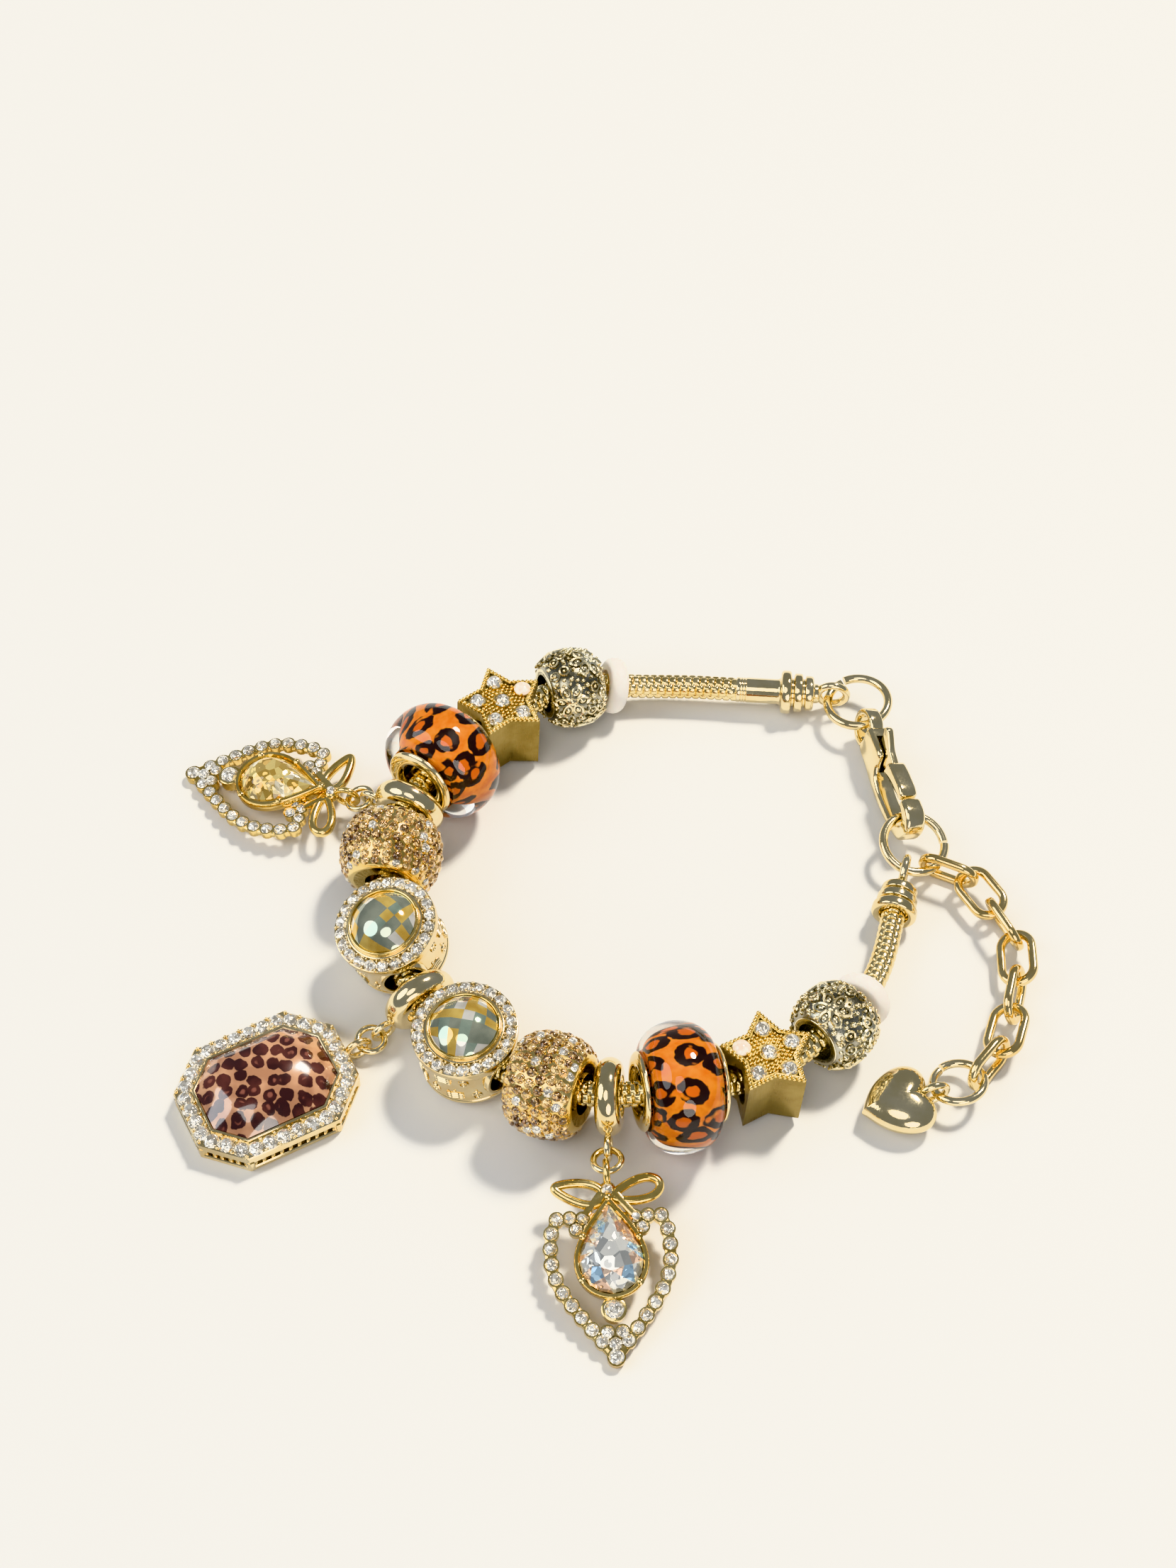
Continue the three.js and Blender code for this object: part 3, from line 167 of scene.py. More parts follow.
def tube(path, radius, sides=10, closed=False, up=(0, 0, 1), share=None, square=2.0, flatten=1.0):
    path = np.asarray(path, float)
    count = len(path)
    if closed:
        tangents = np.roll(path, -1, 0) - np.roll(path, 1, 0)
    else:
        tangents = np.gradient(path, axis=0)
    tangents /= np.linalg.norm(tangents, axis=1)[:, None]
    side = np.cross(tangents, up)
    side /= np.linalg.norm(side, axis=1)[:, None]
    top = np.cross(side, tangents)
    turns = 2 * math.pi * np.arange(sides) / sides
    c, s = np.cos(turns), np.sin(turns)
    grown = radius / (np.abs(c) ** square + np.abs(s) ** square) ** (1 / square)
    across, height = grown * c, grown * s * flatten
    share = np.ones((count, sides)) if share is None else share
    points = (path[:, None] + (share * across)[..., None] * side[:, None]
              + (share * height)[..., None] * top[:, None])
    faces = bands(count, sides, closed)
    if not closed:
        faces += [tuple(range(sides)), tuple(range((count - 1) * sides, count * sides))]
    return points.reshape(-1, 3), faces


def hoop(radius, wire, axis="z", steps=48, sides=10):
    k = "xyz".index(axis)
    return tube(np.insert(circle(radius, steps), k, 0, axis=1), wire, sides, True, np.eye(3)[k])


def splitHoop(radius, wire, split, offset):
    t = np.linspace(0, 1, 72)
    turns = np.radians(split / 2 + t * (360 - split))
    path = np.stack([radius * np.cos(turns), radius * np.sin(turns), (t - 0.5) * offset], 1)
    return tube(path, wire, 12)


def ovalHoop(length, width, wire, square):
    radius, straight = width / 2 - wire, (length - width) / 2
    turns = np.linspace(-math.pi / 2, math.pi / 2, 17)
    right = np.stack([straight + radius * np.cos(turns), radius * np.sin(turns), 0 * turns], 1)
    return tube(np.concatenate([right, -right]), wire, 12, True, square=square)


def granule(radius, squash=1.0, long=1.0, sides=8):
    turns = np.linspace(-math.pi / 2, math.pi / 2, 6)
    points, faces = lathe([(radius * math.cos(t), radius * squash * math.sin(t)) for t in turns], sides)
    return points * (long, 1, 1), faces


def inset(outline, amount):
    outline = np.asarray(outline, float)
    ahead, behind = np.roll(outline, -1, 0) - outline, outline - np.roll(outline, 1, 0)
    ahead /= np.linalg.norm(ahead, axis=1)[:, None]
    behind /= np.linalg.norm(behind, axis=1)[:, None]
    left = np.stack([-ahead[:, 1] - behind[:, 1], ahead[:, 0] + behind[:, 0]], 1)
    square = 1 + (ahead * behind).sum(1)
    return outline + amount * left / square[:, None]


def layered(rings, capped=True):
    count = len(rings[0][0])
    points = np.concatenate([np.insert(outline, 2, height, axis=1) for outline, height in rings])
    faces = bands(len(rings), count)
    if capped:
        faces += [tuple(range(count)), tuple(range((len(rings) - 1) * count, len(rings) * count))]
    return points, faces


def slab(outline, low, high):
    return layered([(outline, low), (outline, high)])


def rail(outline, width, low, high, bevel=0.12):
    inner = inset(outline, width)
    rings = [(inset(outline, bevel), low), (outline, low + bevel), (outline, high - bevel),
             (inset(outline, bevel), high), (inset(inner, -bevel), high), (inner, high - bevel),
             (inner, low + bevel), (inset(inner, -bevel), low), (inset(outline, bevel), low)]
    return layered(rings, False)


def cutStone(outline, rise, table, foot, middle=(0, 0)):
    outline, middle = np.asarray(outline, float), np.array(middle, float)
    count = len(outline)
    half = count // 2
    levels = [(outline, 1, 0), (outline, 0.9, -foot), (outline[1::2], 0.35 + 0.65 * table, rise * 0.72),
              (outline[0::2], table, rise)]
    points = np.concatenate([np.insert(middle + (ring - middle) * share, 2, height, axis=1)
                             for ring, share, height in levels])
    mid, top = 2 * count, 2 * count + half
    faces = [tuple(range(top, top + half)), tuple(range(count, 2 * count))]
    for k in range(half):
        g, following, past = 2 * k, (k + 1) % half, (2 * k + 2) % count
        faces += [(top + k, top + following, mid + k), (top + k, mid + k, g, mid + (k - 1) % half),
                  (g, g + 1, mid + k), (g + 1, past, mid + k)]
    faces += [(i, (i + 1) % count, count + (i + 1) % count, count + i) for i in range(count)]
    return points, faces


class Form:
    def __init__(self):
        self.points, self.faces, self.slots, self.smooth, self.count = [], [], [], [], 0

    def add(self, shape, at=None, slot=0, flat=False):
        points, faces = shape
        points = np.asarray(points, float)
        if at is not None:
            at = frameAt(at) if np.shape(at) == (3,) else at
            points = points @ at[:3, :3].T + at[:3, 3]
        self.points.append(points)
        self.faces += [tuple(i + self.count for i in face) for face in faces]
        self.slots += [slot] * len(faces) if isinstance(slot, int) else list(slot)
        self.smooth += [not flat] * len(faces)
        self.count += len(points)
        return self

    def addCollars(self, ring, soft, sides):  # the same rounded ring at both ends of a bore
        for side in (-1, 1):
            self.add(lathe([(r, side * h) for r, h in rounded([*ring, ring[0]], soft)], sides, "x"))

    def addGrain(self, radius, at, slot=0):
        self.add(granule(radius, sides=6), at, slot)

    def addStone(self, radius, rise, place, foot=0.3, count=16, slot=1):
        self.add(cutStone(circle(radius, count), rise, 0.56, foot), place, slot, True)


def meshOf(name, form, scale=millimetre):
    mesh = bpy.data.meshes.new(name)
    mesh.from_pydata((np.concatenate(form.points) * scale).tolist(), [], form.faces)
    mesh.polygons.foreach_set("material_index", form.slots)
    mesh.polygons.foreach_set("use_smooth", form.smooth)
    made = bmesh.new()
    made.from_mesh(mesh)
    bmesh.ops.remove_doubles(made, verts=made.verts, dist=0.0006 * scale)
    bmesh.ops.recalc_face_normals(made, faces=made.faces)
    made.to_mesh(mesh)
    made.free()
    mesh.set_sharp_from_angle(angle=math.radians(44))
    return mesh


def newObject(name, data):
    made = bpy.data.objects.new(name, data)
    bpy.context.scene.collection.objects.link(made)
    return made


def cut(shape, *cutters):
    body = newObject("blank", meshOf("blank", Form().add(shape), 1))
    spares = [body]
    for cutter in cutters:
        other = newObject("cutter", meshOf("cutter", Form().add(cutter), 1))
        spares.append(other)
        step = body.modifiers.new("cut", "BOOLEAN")
        step.operation, step.solver, step.object = "DIFFERENCE", "EXACT", other
    result = body.evaluated_get(bpy.context.evaluated_depsgraph_get()).to_mesh()
    points = np.array([v.co[:] for v in result.vertices])
    faces = [tuple(p.vertices) for p in result.polygons]
    for spare in spares:
        bpy.data.objects.remove(spare)
    return points, faces


def camel(node):
    words = node.split("_")
    return words[0] + "".join(word.capitalize() for word in words[1:])


def makePiece(node, form, materials=None, body="bracelet"):
    mesh = meshOf(camel(node), form)
    for material in materials or [brightGold]:
        mesh.materials.append(material)
    mesh.transform(Matrix(placeOf(node).tolist()))
    piece = newObject(camel(node), mesh)
    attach(piece, body)
    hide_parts(node)


# Materials

class Socket:
    def __init__(self, tree, socket):
        self.tree, self.socket = tree, socket

    def node(self, kind, settings=None, inputs=None, output=0):
        made = self.tree.nodes.new("ShaderNode" + kind)
        for key, value in (settings or {}).items():
            setattr(made, key, value)
        for key, value in (inputs or {}).items():
            if isinstance(value, Socket):
                self.tree.links.new(value.socket, made.inputs[key])
            else:
                made.inputs[key].default_value = value
        return Socket(self.tree, made.outputs[output])

    def math(self, operation, *others, clamp=False):
        return self.node("Math", {"operation": operation, "use_clamp": clamp}, dict(enumerate((self, *others))))

    def __add__(self, other): return self.math("ADD", other)
    def __sub__(self, other): return self.math("SUBTRACT", other)
    def __rsub__(self, other): return (self * -1).math("ADD", other)
    def __mul__(self, other): return self.math("MULTIPLY", other)
    __radd__, __rmul__ = __add__, __mul__

    def step(self, low, high):
        return self.node("MapRange", {"interpolation_type": "SMOOTHSTEP"}, {0: self, 1: low, 2: high})

    def mix(self, *colours):
        first, second = ((*c, 1) if isinstance(c, tuple) else c for c in colours)
        return self.node("Mix", {"data_type": "RGBA"}, {0: self, 6: first, 7: second}, 2)

    def stretched(self, x, y, z):
        return self.node("VectorMath", {"operation": "MULTIPLY"}, {0: self, 1: (x, y, z)})

    def noise(self, scale, detail=3.0, rough=0.55):
        return self.node("TexNoise", None, {"Vector": self, "Scale": scale, "Detail": detail, "Roughness": rough})

    def cells(self, pitch, output=0):
        return self.node("TexVoronoi", None, {"Vector": self, "Scale": 1 / (pitch * millimetre)}, output)

    def spots(self, pitch, randomness):
        return self.node("TexVoronoi", {"voronoi_dimensions": "2D"},
                         {"Vector": self, "Scale": 1 / (pitch * millimetre), "Randomness": randomness})

    def bump(self, distance):
        return self.node("Bump", None, {"Height": self, "Distance": distance * millimetre, "Strength": 1.0})


def makeMaterial(name, fixed, varied=None):
    material = bpy.data.materials.new(name)
    material.use_nodes = True
    tree = material.node_tree
    shader = tree.nodes["Principled BSDF"]
    for key, value in fixed.items():
        shader.inputs[key].default_value = value
    if varied:
        point = Socket(tree, tree.nodes.new("ShaderNodeTexCoord").outputs["Object"])
        for key, value in varied(point).items():
            tree.links.new(value.socket, shader.inputs[key])
    return material


def goldLook(name, bright, deep, smooth, rough, grain=0.004, streaks=(1, 1, 1)):
    def varied(point):
        cloud = point.noise(260.0, 4.0)
        fine = point.stretched(*streaks).noise(5200.0, 2.0)
        return {
            "Base Color": cloud.step(0.32, 0.68).mix(deep, bright),
            "Roughness": smooth + (rough - smooth) * (cloud * 0.5 + fine * 0.5).step(0.35, 0.7),
            "Normal": (fine + point.noise(900.0) * 2).bump(grain),
        }
    return makeMaterial(name, {"Metallic": 1.0}, varied)


def crystalLook(name, light, dark, facet=0.42):
    def varied(point):
        # Light and dark patches, one per Voronoi cell, are painted facet glints and shade standing in for light caught
        # by the stones' facets.
        patches = point.cells(facet, 1)
        shade = patches.node("SeparateColor", None, {0: patches})
        slope = point.cells(facet) + point.cells(facet / 0.45) * 2
        return {
            "Base Color": shade.step(0.15, 0.85).mix(dark, light),
            "Normal": slope.bump(facet * 0.34),
        }
    return makeMaterial(name, {"Metallic": 0.75, "Roughness": 0.06, **coated}, varied)


def facetLook(name, light, dark, inside=0.0):
    def varied(point):
        # With inside set, light and dark patches per Voronoi cell are painted glints and shade of internal facets;
        # without it, a soft noise varies the tone.
        if inside:
            patches = point.cells(inside, 1)
            shade = patches.node("SeparateColor", None, {0: patches})
            slope, relief = point.cells(inside), 0.22 * inside
        else:
            shade, slope, relief = point.noise(420.0, 2.0), point.noise(260.0, 1.0), 0.05
        return {"Base Color": shade.step(0.25, 0.75).mix(dark, light),
                "Normal": slope.bump(relief)}
    return makeMaterial(name, {"Metallic": 0.7, "Roughness": 0.07, **coated}, varied)


def bent(point, scale, amount):
    push = point.node("TexNoise", None, {"Vector": point, "Scale": scale, "Detail": 1.0}, 1)
    push = push.node("VectorMath", {"operation": "SCALE"}, {0: push, "Scale": amount})
    return point.node("VectorMath", {"operation": "ADD"}, {0: point, 1: push})


def leopardSleeve(point, node):  # rosettes wrapped round the sleeve, with the seam below
    x, y, z = (point.node("VectorMath", {"operation": "DOT_PRODUCT"}, {0: point, 1: row[:3]}, 1) + row[3]
               for row in np.linalg.inv(placeOf(node))[:3])
    turn = y.math("ARCTAN2", z) * (rosette["round"] * millimetre)
    wrapped = turn.node("CombineXYZ", None, {0: turn, 1: x, 2: 0.0})
    spot = bent(wrapped, 420.0, 0.0011).spots(rosette["pitch"], 0.55)
    low, high = rosette["ring"]
    edge = rosette["edge"]
    ragged = spot + (wrapped.noise(1100.0, 1.0) - 0.5) * 0.20
    ring = ragged.step(low, low + edge) * (1 - ragged.step(high, high + edge))
    broken = ring * wrapped.noise(430.0, 1.0).step(0.35, 0.39)
    ground = wrapped.noise(900.0, 2.0).step(0.3, 0.7).mix((0.80, 0.19, 0.012), (0.98, 0.33, 0.03))
    kept = (1 - ragged.step(low, low + edge)).mix(ground, (0.72, 0.15, 0.010))
    return {"Base Color": broken.mix(kept, (0.018, 0.006, 0.005))}


def leopardStone(point):
    flat = bent(point, 500.0, 0.0008).stretched(1, 1, 0)
    spot = flat.spots(blotch["pitch"], 0.5)
    ragged = spot + (point.noise(1800.0, 1.0) - 0.5) * 0.20
    spots = 1 - ragged.step(*blotch["edge"])
    tone = point.noise(330.0, 2.0).step(0.35, 0.65)
    ground = tone.mix((0.32, 0.16, 0.09), (0.48, 0.27, 0.16))
    spotColour = tone.mix((0.030, 0.010, 0.009), (0.085, 0.028, 0.022))
    hollow = (1 - ragged.step(0.10, 0.22)) * point.noise(420.0, 1.0).step(0.5, 0.56)
    return {"Base Color": spots.mix(ground, hollow.mix(spotColour, (0.19, 0.07, 0.05)))}


coated = {"Coat Weight": 1.0, "Coat Roughness": 0.015, "Coat IOR": 1.6}
rosette = {"pitch": 3.25, "round": 4.9, "ring": (0.18, 0.43), "edge": 0.035}
blotch = {"pitch": 1.75, "edge": (0.42, 0.47)}
brightGold = goldLook("brightGold", (0.95, 0.82, 0.54), (0.88, 0.72, 0.41), 0.06, 0.14)
linkGold = goldLook("linkGold", (0.94, 0.77, 0.43), (0.86, 0.63, 0.28), 0.07, 0.16)
chainGold = goldLook("chainGold", (0.94, 0.79, 0.46), (0.85, 0.65, 0.30), 0.10, 0.20)
drumGold = goldLook("drumGold", (0.94, 0.80, 0.51), (0.86, 0.67, 0.36), 0.10, 0.22)
starGold = goldLook("starGold", (0.36, 0.27, 0.10), (0.25, 0.175, 0.055), 0.26, 0.42, 0.012, (1, 1, 0.08))
richGold = goldLook("richGold", (0.95, 0.75, 0.35), (0.85, 0.59, 0.20), 0.09, 0.20)
antiqueGold = goldLook("antiqueGold", (0.96, 0.90, 0.68), (0.84, 0.70, 0.42), 0.12, 0.24)
darkGround = goldLook("darkGround", (0.52, 0.50, 0.42), (0.24, 0.215, 0.15), 0.16, 0.32, 0.01)
clearCrystal = crystalLook("clearCrystal", (1.0, 0.97, 0.90), (0.56, 0.51, 0.42))
champagneCrystal = crystalLook("champagneCrystal", (0.97, 0.70, 0.32), (0.36, 0.20, 0.065), 0.34)
darkCrystal = crystalLook("darkCrystal", (0.62, 0.40, 0.17), (0.12, 0.055, 0.02), 0.34)
# Round stone facet tones: gold and pale are the foil's own colours; the grey and green tones are painted reflections
# of a bluish sky.
greySkyReflectionFacet = facetLook("greySkyReflectionFacet", (0.44, 0.46, 0.36), (0.24, 0.27, 0.21))
greenSkyReflectionFacet = facetLook("greenSkyReflectionFacet", (0.42, 0.50, 0.40), (0.27, 0.35, 0.28))
goldFacet = facetLook("goldFacet", (0.98, 0.72, 0.22), (0.66, 0.40, 0.08))
paleFacet = facetLook("paleFacet", (0.98, 0.94, 0.86), (0.70, 0.66, 0.58))
# Pear stone tones: each pear's three tones, spread over its facets, are partly the stone's own colour and partly
# painted facet light, shade and reflection.
yellowFacet = facetLook("yellowFacet", (1.0, 0.80, 0.32), (0.62, 0.40, 0.10), 1.1)
amberFacet = facetLook("amberFacet", (0.92, 0.62, 0.20), (0.42, 0.24, 0.05), 0.9)
creamFacet = facetLook("creamFacet", (1.0, 0.93, 0.70), (0.70, 0.55, 0.28), 1.0)
clearFacet = facetLook("clearFacet", (0.94, 0.93, 0.88), (0.46, 0.47, 0.46), 1.3)
blueFacet = facetLook("blueFacet", (0.50, 0.72, 0.90), (0.34, 0.48, 0.62), 1.0)
roseFacet = facetLook("roseFacet", (0.98, 0.76, 0.60), (0.62, 0.44, 0.34), 1.1)
spottedCrystal = makeMaterial("spottedCrystal", {"Roughness": 0.14, **coated}, leopardStone)
clearGlass = makeMaterial("clearGlass", {
    "Base Color": (0.985, 0.985, 0.975, 1), "Roughness": 0.0, "IOR": 1.5, "Transmission Weight": 1.0},
    lambda point: {"Normal": point.noise(160.0, 1.0).bump(0.004)})
silicone = makeMaterial("silicone", {
    "Base Color": (0.90, 0.85, 0.80, 1), "Subsurface Weight": 0.6, "Subsurface Radius": (0.0016, 0.0012, 0.001),
    "IOR": 1.42, "Transmission Weight": 0.15},
    lambda point: {"Roughness": 0.34 + point.noise(900.0) * 0.2,
                   "Normal": point.noise(1500.0).bump(0.01)})
opal = makeMaterial("opal", {"Roughness": 0.12, "Subsurface Weight": 0.4, "Subsurface Radius": (0.001, 0.001, 0.001),
                             "Coat Weight": 1.0},
                    lambda point: {"Base Color": point.noise(1200.0).step(0.35, 0.65).mix(
                        (0.92, 0.74, 0.60), (0.97, 0.91, 0.84))})
print("stage: materials made")

# Snake chain: one smooth route with staggered rows of scales
chain = {
    "radius": 1.47, "pitch": 0.96, "steps": 8, "sides": 48, "relief": 0.15, "columns": 6, "tuck": 0.4,
    "knots": [
        (16.816, 42.747, 2.8), (11.55, 43.108, 2.8), (6.277, 43.195, 2.8), (1.773, 42.779, 3.5), (-3.52, 41.33, 5.47),
        (-12.125, 36.365, 4.4), (-18.911, 28.388, 7.52), (-22.709, 22.301, 6.915), (-24.734, 15.671, 6.31),
        (-24.202, 4.405, 5.179), (-20.584, -3.253, 4.95), (-15.072, -9.49, 4.198), (-5.594, -15.517, 6.31),
        (1.049, -16.931, 6.915), (8.804, -16.498, 7.52), (18.543, -12.872, 4.4), (26.757, -7.108, 5.47),
        (30.018, -2.787, 3.5), (32.552, 2.144, 2.8), (34.816, 10.147, 2.8)],
}


def lengthsOf(path):
    return np.concatenate([[0], np.cumsum(np.linalg.norm(np.diff(path, axis=0), axis=1))])


def pointsAt(path, lengths, marks):
    return np.stack([np.interp(marks, lengths, column) for column in path.T], 1)


def smoothRoute(knots, spacing):
    knots = np.array(knots)
    knots = np.concatenate([[2 * knots[0] - knots[1]], knots, [2 * knots[-1] - knots[-2]]])
    dense = []
    for p0, p1, p2, p3 in zip(knots, knots[1:], knots[2:], knots[3:]):
        d0, d1, d2 = (math.sqrt(np.linalg.norm(b - a)) for a, b in ((p0, p1), (p1, p2), (p2, p3)))
        m1 = ((p1 - p0) / d0 - (p2 - p0) / (d0 + d1) + (p2 - p1) / d1) * d1
        m2 = ((p2 - p1) / d1 - (p3 - p1) / (d1 + d2) + (p3 - p2) / d2) * d1
        for t in np.linspace(0, 1, 60, endpoint=False):
            dense.append((2 * t ** 3 - 3 * t ** 2 + 1) * p1 + (t ** 3 - 2 * t ** 2 + t) * m1
                         + (3 * t ** 2 - 2 * t ** 3) * p2 + (t ** 3 - t ** 2) * m2)
    dense = np.array(dense + [knots[-2]])
    lengths = lengthsOf(dense)
    return pointsAt(dense, lengths, np.linspace(0, lengths[-1], int(lengths[-1] / spacing)))


def chainForm():
    path = smoothRoute(chain["knots"], chain["pitch"] / chain["steps"])
    ends = [a + unit(a - b) * chain["tuck"] for a, b in ((path[0], path[1]), (path[-1], path[-2]))]
    path = np.concatenate([ends[:1], path, ends[1:]])
    column = np.arange(chain["sides"]) * chain["columns"] / chain["sides"]
    row = np.arange(len(path))[:, None] / chain["steps"]
    across = np.abs(2 * (column % 1) - 1)
    along = np.abs(2 * ((row + 0.5 * (column // 1 % 2)) % 1) - 1)
    share = 1 - chain["relief"] * np.minimum(1, 0.8 * across ** 5 + along ** 5)
    return Form().add(tube(path, chain["radius"], chain["sides"], share=share))


makePiece("snake_chain", chainForm(), [chainGold])
print("stage: chain made")

# End caps: a sleeve or a socket, a rim, two ridges, a neck and a loop
cap = {
    "rim": 2.7, "ridges": (2.4, 2.15), "groove": 1.75, "rimWidth": 1.3, "ridgeWidth": 1.05, "grooveWidth": 0.35,
    "neck": 1.2, "neckLength": 0.7, "sleeve": 1.55, "sleeveLength": 5.6, "edge": 0.15, "lines": (0.5, 0.82, 1.14),
    "lineDepth": 0.12, "lineWidth": 0.16, "socket": 1.7, "socketDepth": 1.4, "loop": 1.75, "loopWire": 0.5,
    "overlap": 0.1, "soft": 0.5,
}


def capForm(x):  # x is the sleeve's length, or 0 for a socket
    sleeve, edge = cap["sleeve"], cap["edge"]
    if x:
        profile = [(0, 0), (sleeve - edge, 0), (sleeve, edge)]
        for start in cap["lines"]:
            profile += [(sleeve, start), (sleeve - cap["lineDepth"], start + cap["lineWidth"] / 2),
                        (sleeve, start + cap["lineWidth"])]
        profile.append((sleeve, x))
    else:
        profile = [(0, cap["socketDepth"]), (cap["socket"], cap["socketDepth"]), (cap["socket"], 0)]
    steps = [(cap["rim"], cap["rimWidth"])]
    for ridge in cap["ridges"]:
        steps += [(cap["groove"], cap["grooveWidth"]), (ridge, cap["ridgeWidth"])]
    for radius, width in steps + [(cap["neck"], cap["neckLength"])]:
        profile += [(radius, x), (radius, x + width)]
        x += width
    profile.append((0, x))
    form = Form().add(lathe(rounded(profile, cap["soft"], 4), 56, "x"))
    return form.add(hoop(cap["loop"], cap["loopWire"], "y"), (x + cap["loop"] - cap["overlap"], 0, 0))


makePiece("end_cap_a", capForm(cap["sleeveLength"]))
makePiece("end_cap_b", capForm(0))

# Rings and links
rings = {
    "jump": (3.75, 0.55, 6, 0.25), "end": (2.9, 0.5, 6, 0.2), "drop": (1.55, 0.38),
    "link": (7.5, 4.7, 0.5, 4.0), "links": 7,
}
for node, kind in (("jump_ring_a", "jump"), ("jump_ring_b", "jump"), ("end_ring", "end")):
    makePiece(node, Form().add(splitHoop(*rings[kind])))
for side in "abc":
    makePiece("drop_ring_" + side, Form().add(hoop(*rings["drop"])))
for number in range(1, rings["links"] + 1):
    makePiece("extender_link_%d" % number, Form().add(ovalHoop(*rings["link"])), [linkGold])
print("stage: rings and links made")

# Puffed heart on its own loop
heart = {
    "width": 8.4, "thickness": 4.2, "loop": 1.6, "wire": 0.42, "rings": 18, "side": 40, "reach": 1.5, "fullness": 0.86,
    "lobe": ((0, 0), (-0.15, 0.55), (-0.75, 0.62), (-0.95, 0.28)),
    "flank": ((-0.95, 0.28), (-1.25, -0.3), (-0.45, -1), (0, -1.5)),
}


def bezier(points, count):
    t = np.linspace(0, 1, count, endpoint=False)[:, None]
    a, b, c, d = np.array(points, float)
    return (1 - t) ** 3 * a + 3 * (1 - t) ** 2 * t * b + 3 * (1 - t) * t ** 2 * c + t ** 3 * d


def heartForm():
    grow = (heart["thickness"] / 2 - 0.2) * 0.95
    h = heart["width"] / 2 - grow
    half = np.concatenate([bezier(np.multiply(heart[part], h), heart["side"]) for part in ("lobe", "flank")])
    whole = np.concatenate([half, [(0, -h * 1.5)], half[:0:-1] * (-1, 1)])
    turned = np.stack([-whole[:, 1], whole[:, 0]], 1)
    middle = np.array([h * 0.3, 0])
    away = turned - middle
    outline = turned + away / np.linalg.norm(away, axis=1)[:, None] * grow
    levels = []
    for i in range(2 * heart["rings"] + 1):
        turn = math.pi * (i / (2 * heart["rings"]) - 0.5)
        share, lift = max(math.cos(turn), 0.004), math.sin(turn)
        levels.append((middle + (outline - middle) * share ** heart["fullness"], lift * heart["thickness"] / 2))
    form = Form().add(layered(levels), (heart["loop"] + heart["reach"], 0, 0))
    return form.add(hoop(heart["loop"], heart["wire"], "y"))


makePiece("heart_charm", heartForm())

# Clasp and lever: cast pieces with rounded edges, x from the eye to the hook and y to the lever
clasp = {
    "inside": 15.152, "halfWidth": 3.0, "thickness": 2.6, "eyeHole": 1.7, "eye": 2.5, "eyeThickness": 1.7, "bar": 1.8,
    "slot": 1.3, "tongue": 0.9, "arm": 2.34, "pin": 0.45, "pinHole": 0.63, "pivot": (4.546, 0.75), "hookTip": 13.152,
    "leverTip": 12.852, "soft": 0.5, "corner": 1.1, "slotAlong": (0.19, 0.4902), "slotFloor": -0.65,
}


def claspLine(*table):
    return [(clasp["inside"] * along + extra, clasp["halfWidth"] * across) for along, across, extra in table]


def cast(outline, thickness, soft):
    outline = np.array(rounded([outline[-1], *outline, outline[0]], clasp["corner"], 4)[1:-1])
    turns = np.linspace(0, math.pi / 2, 5)
    edge = [(soft * (1 - math.sin(a)), thickness / 2 - soft * (1 - math.cos(a))) for a in turns]
    return layered([(inset(outline, amount), -height) for amount, height in edge]
                   + [(inset(outline, amount), height) for amount, height in reversed(edge)])


def claspForm():
    eye, bar, tip = clasp["eye"], clasp["bar"], clasp["hookTip"]
    outline = [(1.2, -eye * 0.8), *claspLine((0.25, -0.72, 0), (0.42, -0.92, 0), (0.6, -1, 0), (0.85, -0.98, 0)),
               *claspLine((1, -0.72, bar * 0.5), (1, -0.28, bar * 0.9), (1, 0.2, bar)),
               *claspLine((1, 0.62, bar * 0.6), (1, 0.84, 0)),
               (tip, clasp["halfWidth"] * 0.86), (tip, clasp["halfWidth"] * 0.44),
               *claspLine((1, 0.36, -0.9), (1, 0.14, -0.15), (1, -0.1, 0), (1, -0.3, -0.4), (1, -0.54, -1.6)),
               *claspLine((0.6, -0.58, 0), (0.46, -0.4, 0), (0.4, 0, 0), (0.39, 0.62, 0), (0.2, 0.64, 0)),
               (1.2, eye * 0.8)]
    (start, end), low, half = clasp["slotAlong"], clasp["slotFloor"], clasp["slot"] / 2
    start, end = start * clasp["inside"], end * clasp["inside"]
    slot = slab([(start, low), (end, low), (end, 6), (start, 6)], -half, half)
    hole = slab(circle(clasp["eyeHole"], 40), -3, 3)
    form = Form().add(cut(cast(outline, clasp["thickness"], clasp["soft"]), slot, hole))
    high = clasp["eyeThickness"] / 2
    ring = [(clasp["eyeHole"], -high), (eye, -high), (eye, high), (clasp["eyeHole"], high), (clasp["eyeHole"], -high)]
    form.add(lathe(rounded([ring[-2], *ring, ring[1]], 0.3)[1:-1], 48))
    side = clasp["thickness"] / 2
    pin = [(0, -side), (clasp["pin"], 0.08 - side), (clasp["pin"], side - 0.08), (0, side)]
    return form.add(lathe(pin, 20), (*clasp["pivot"], 0))


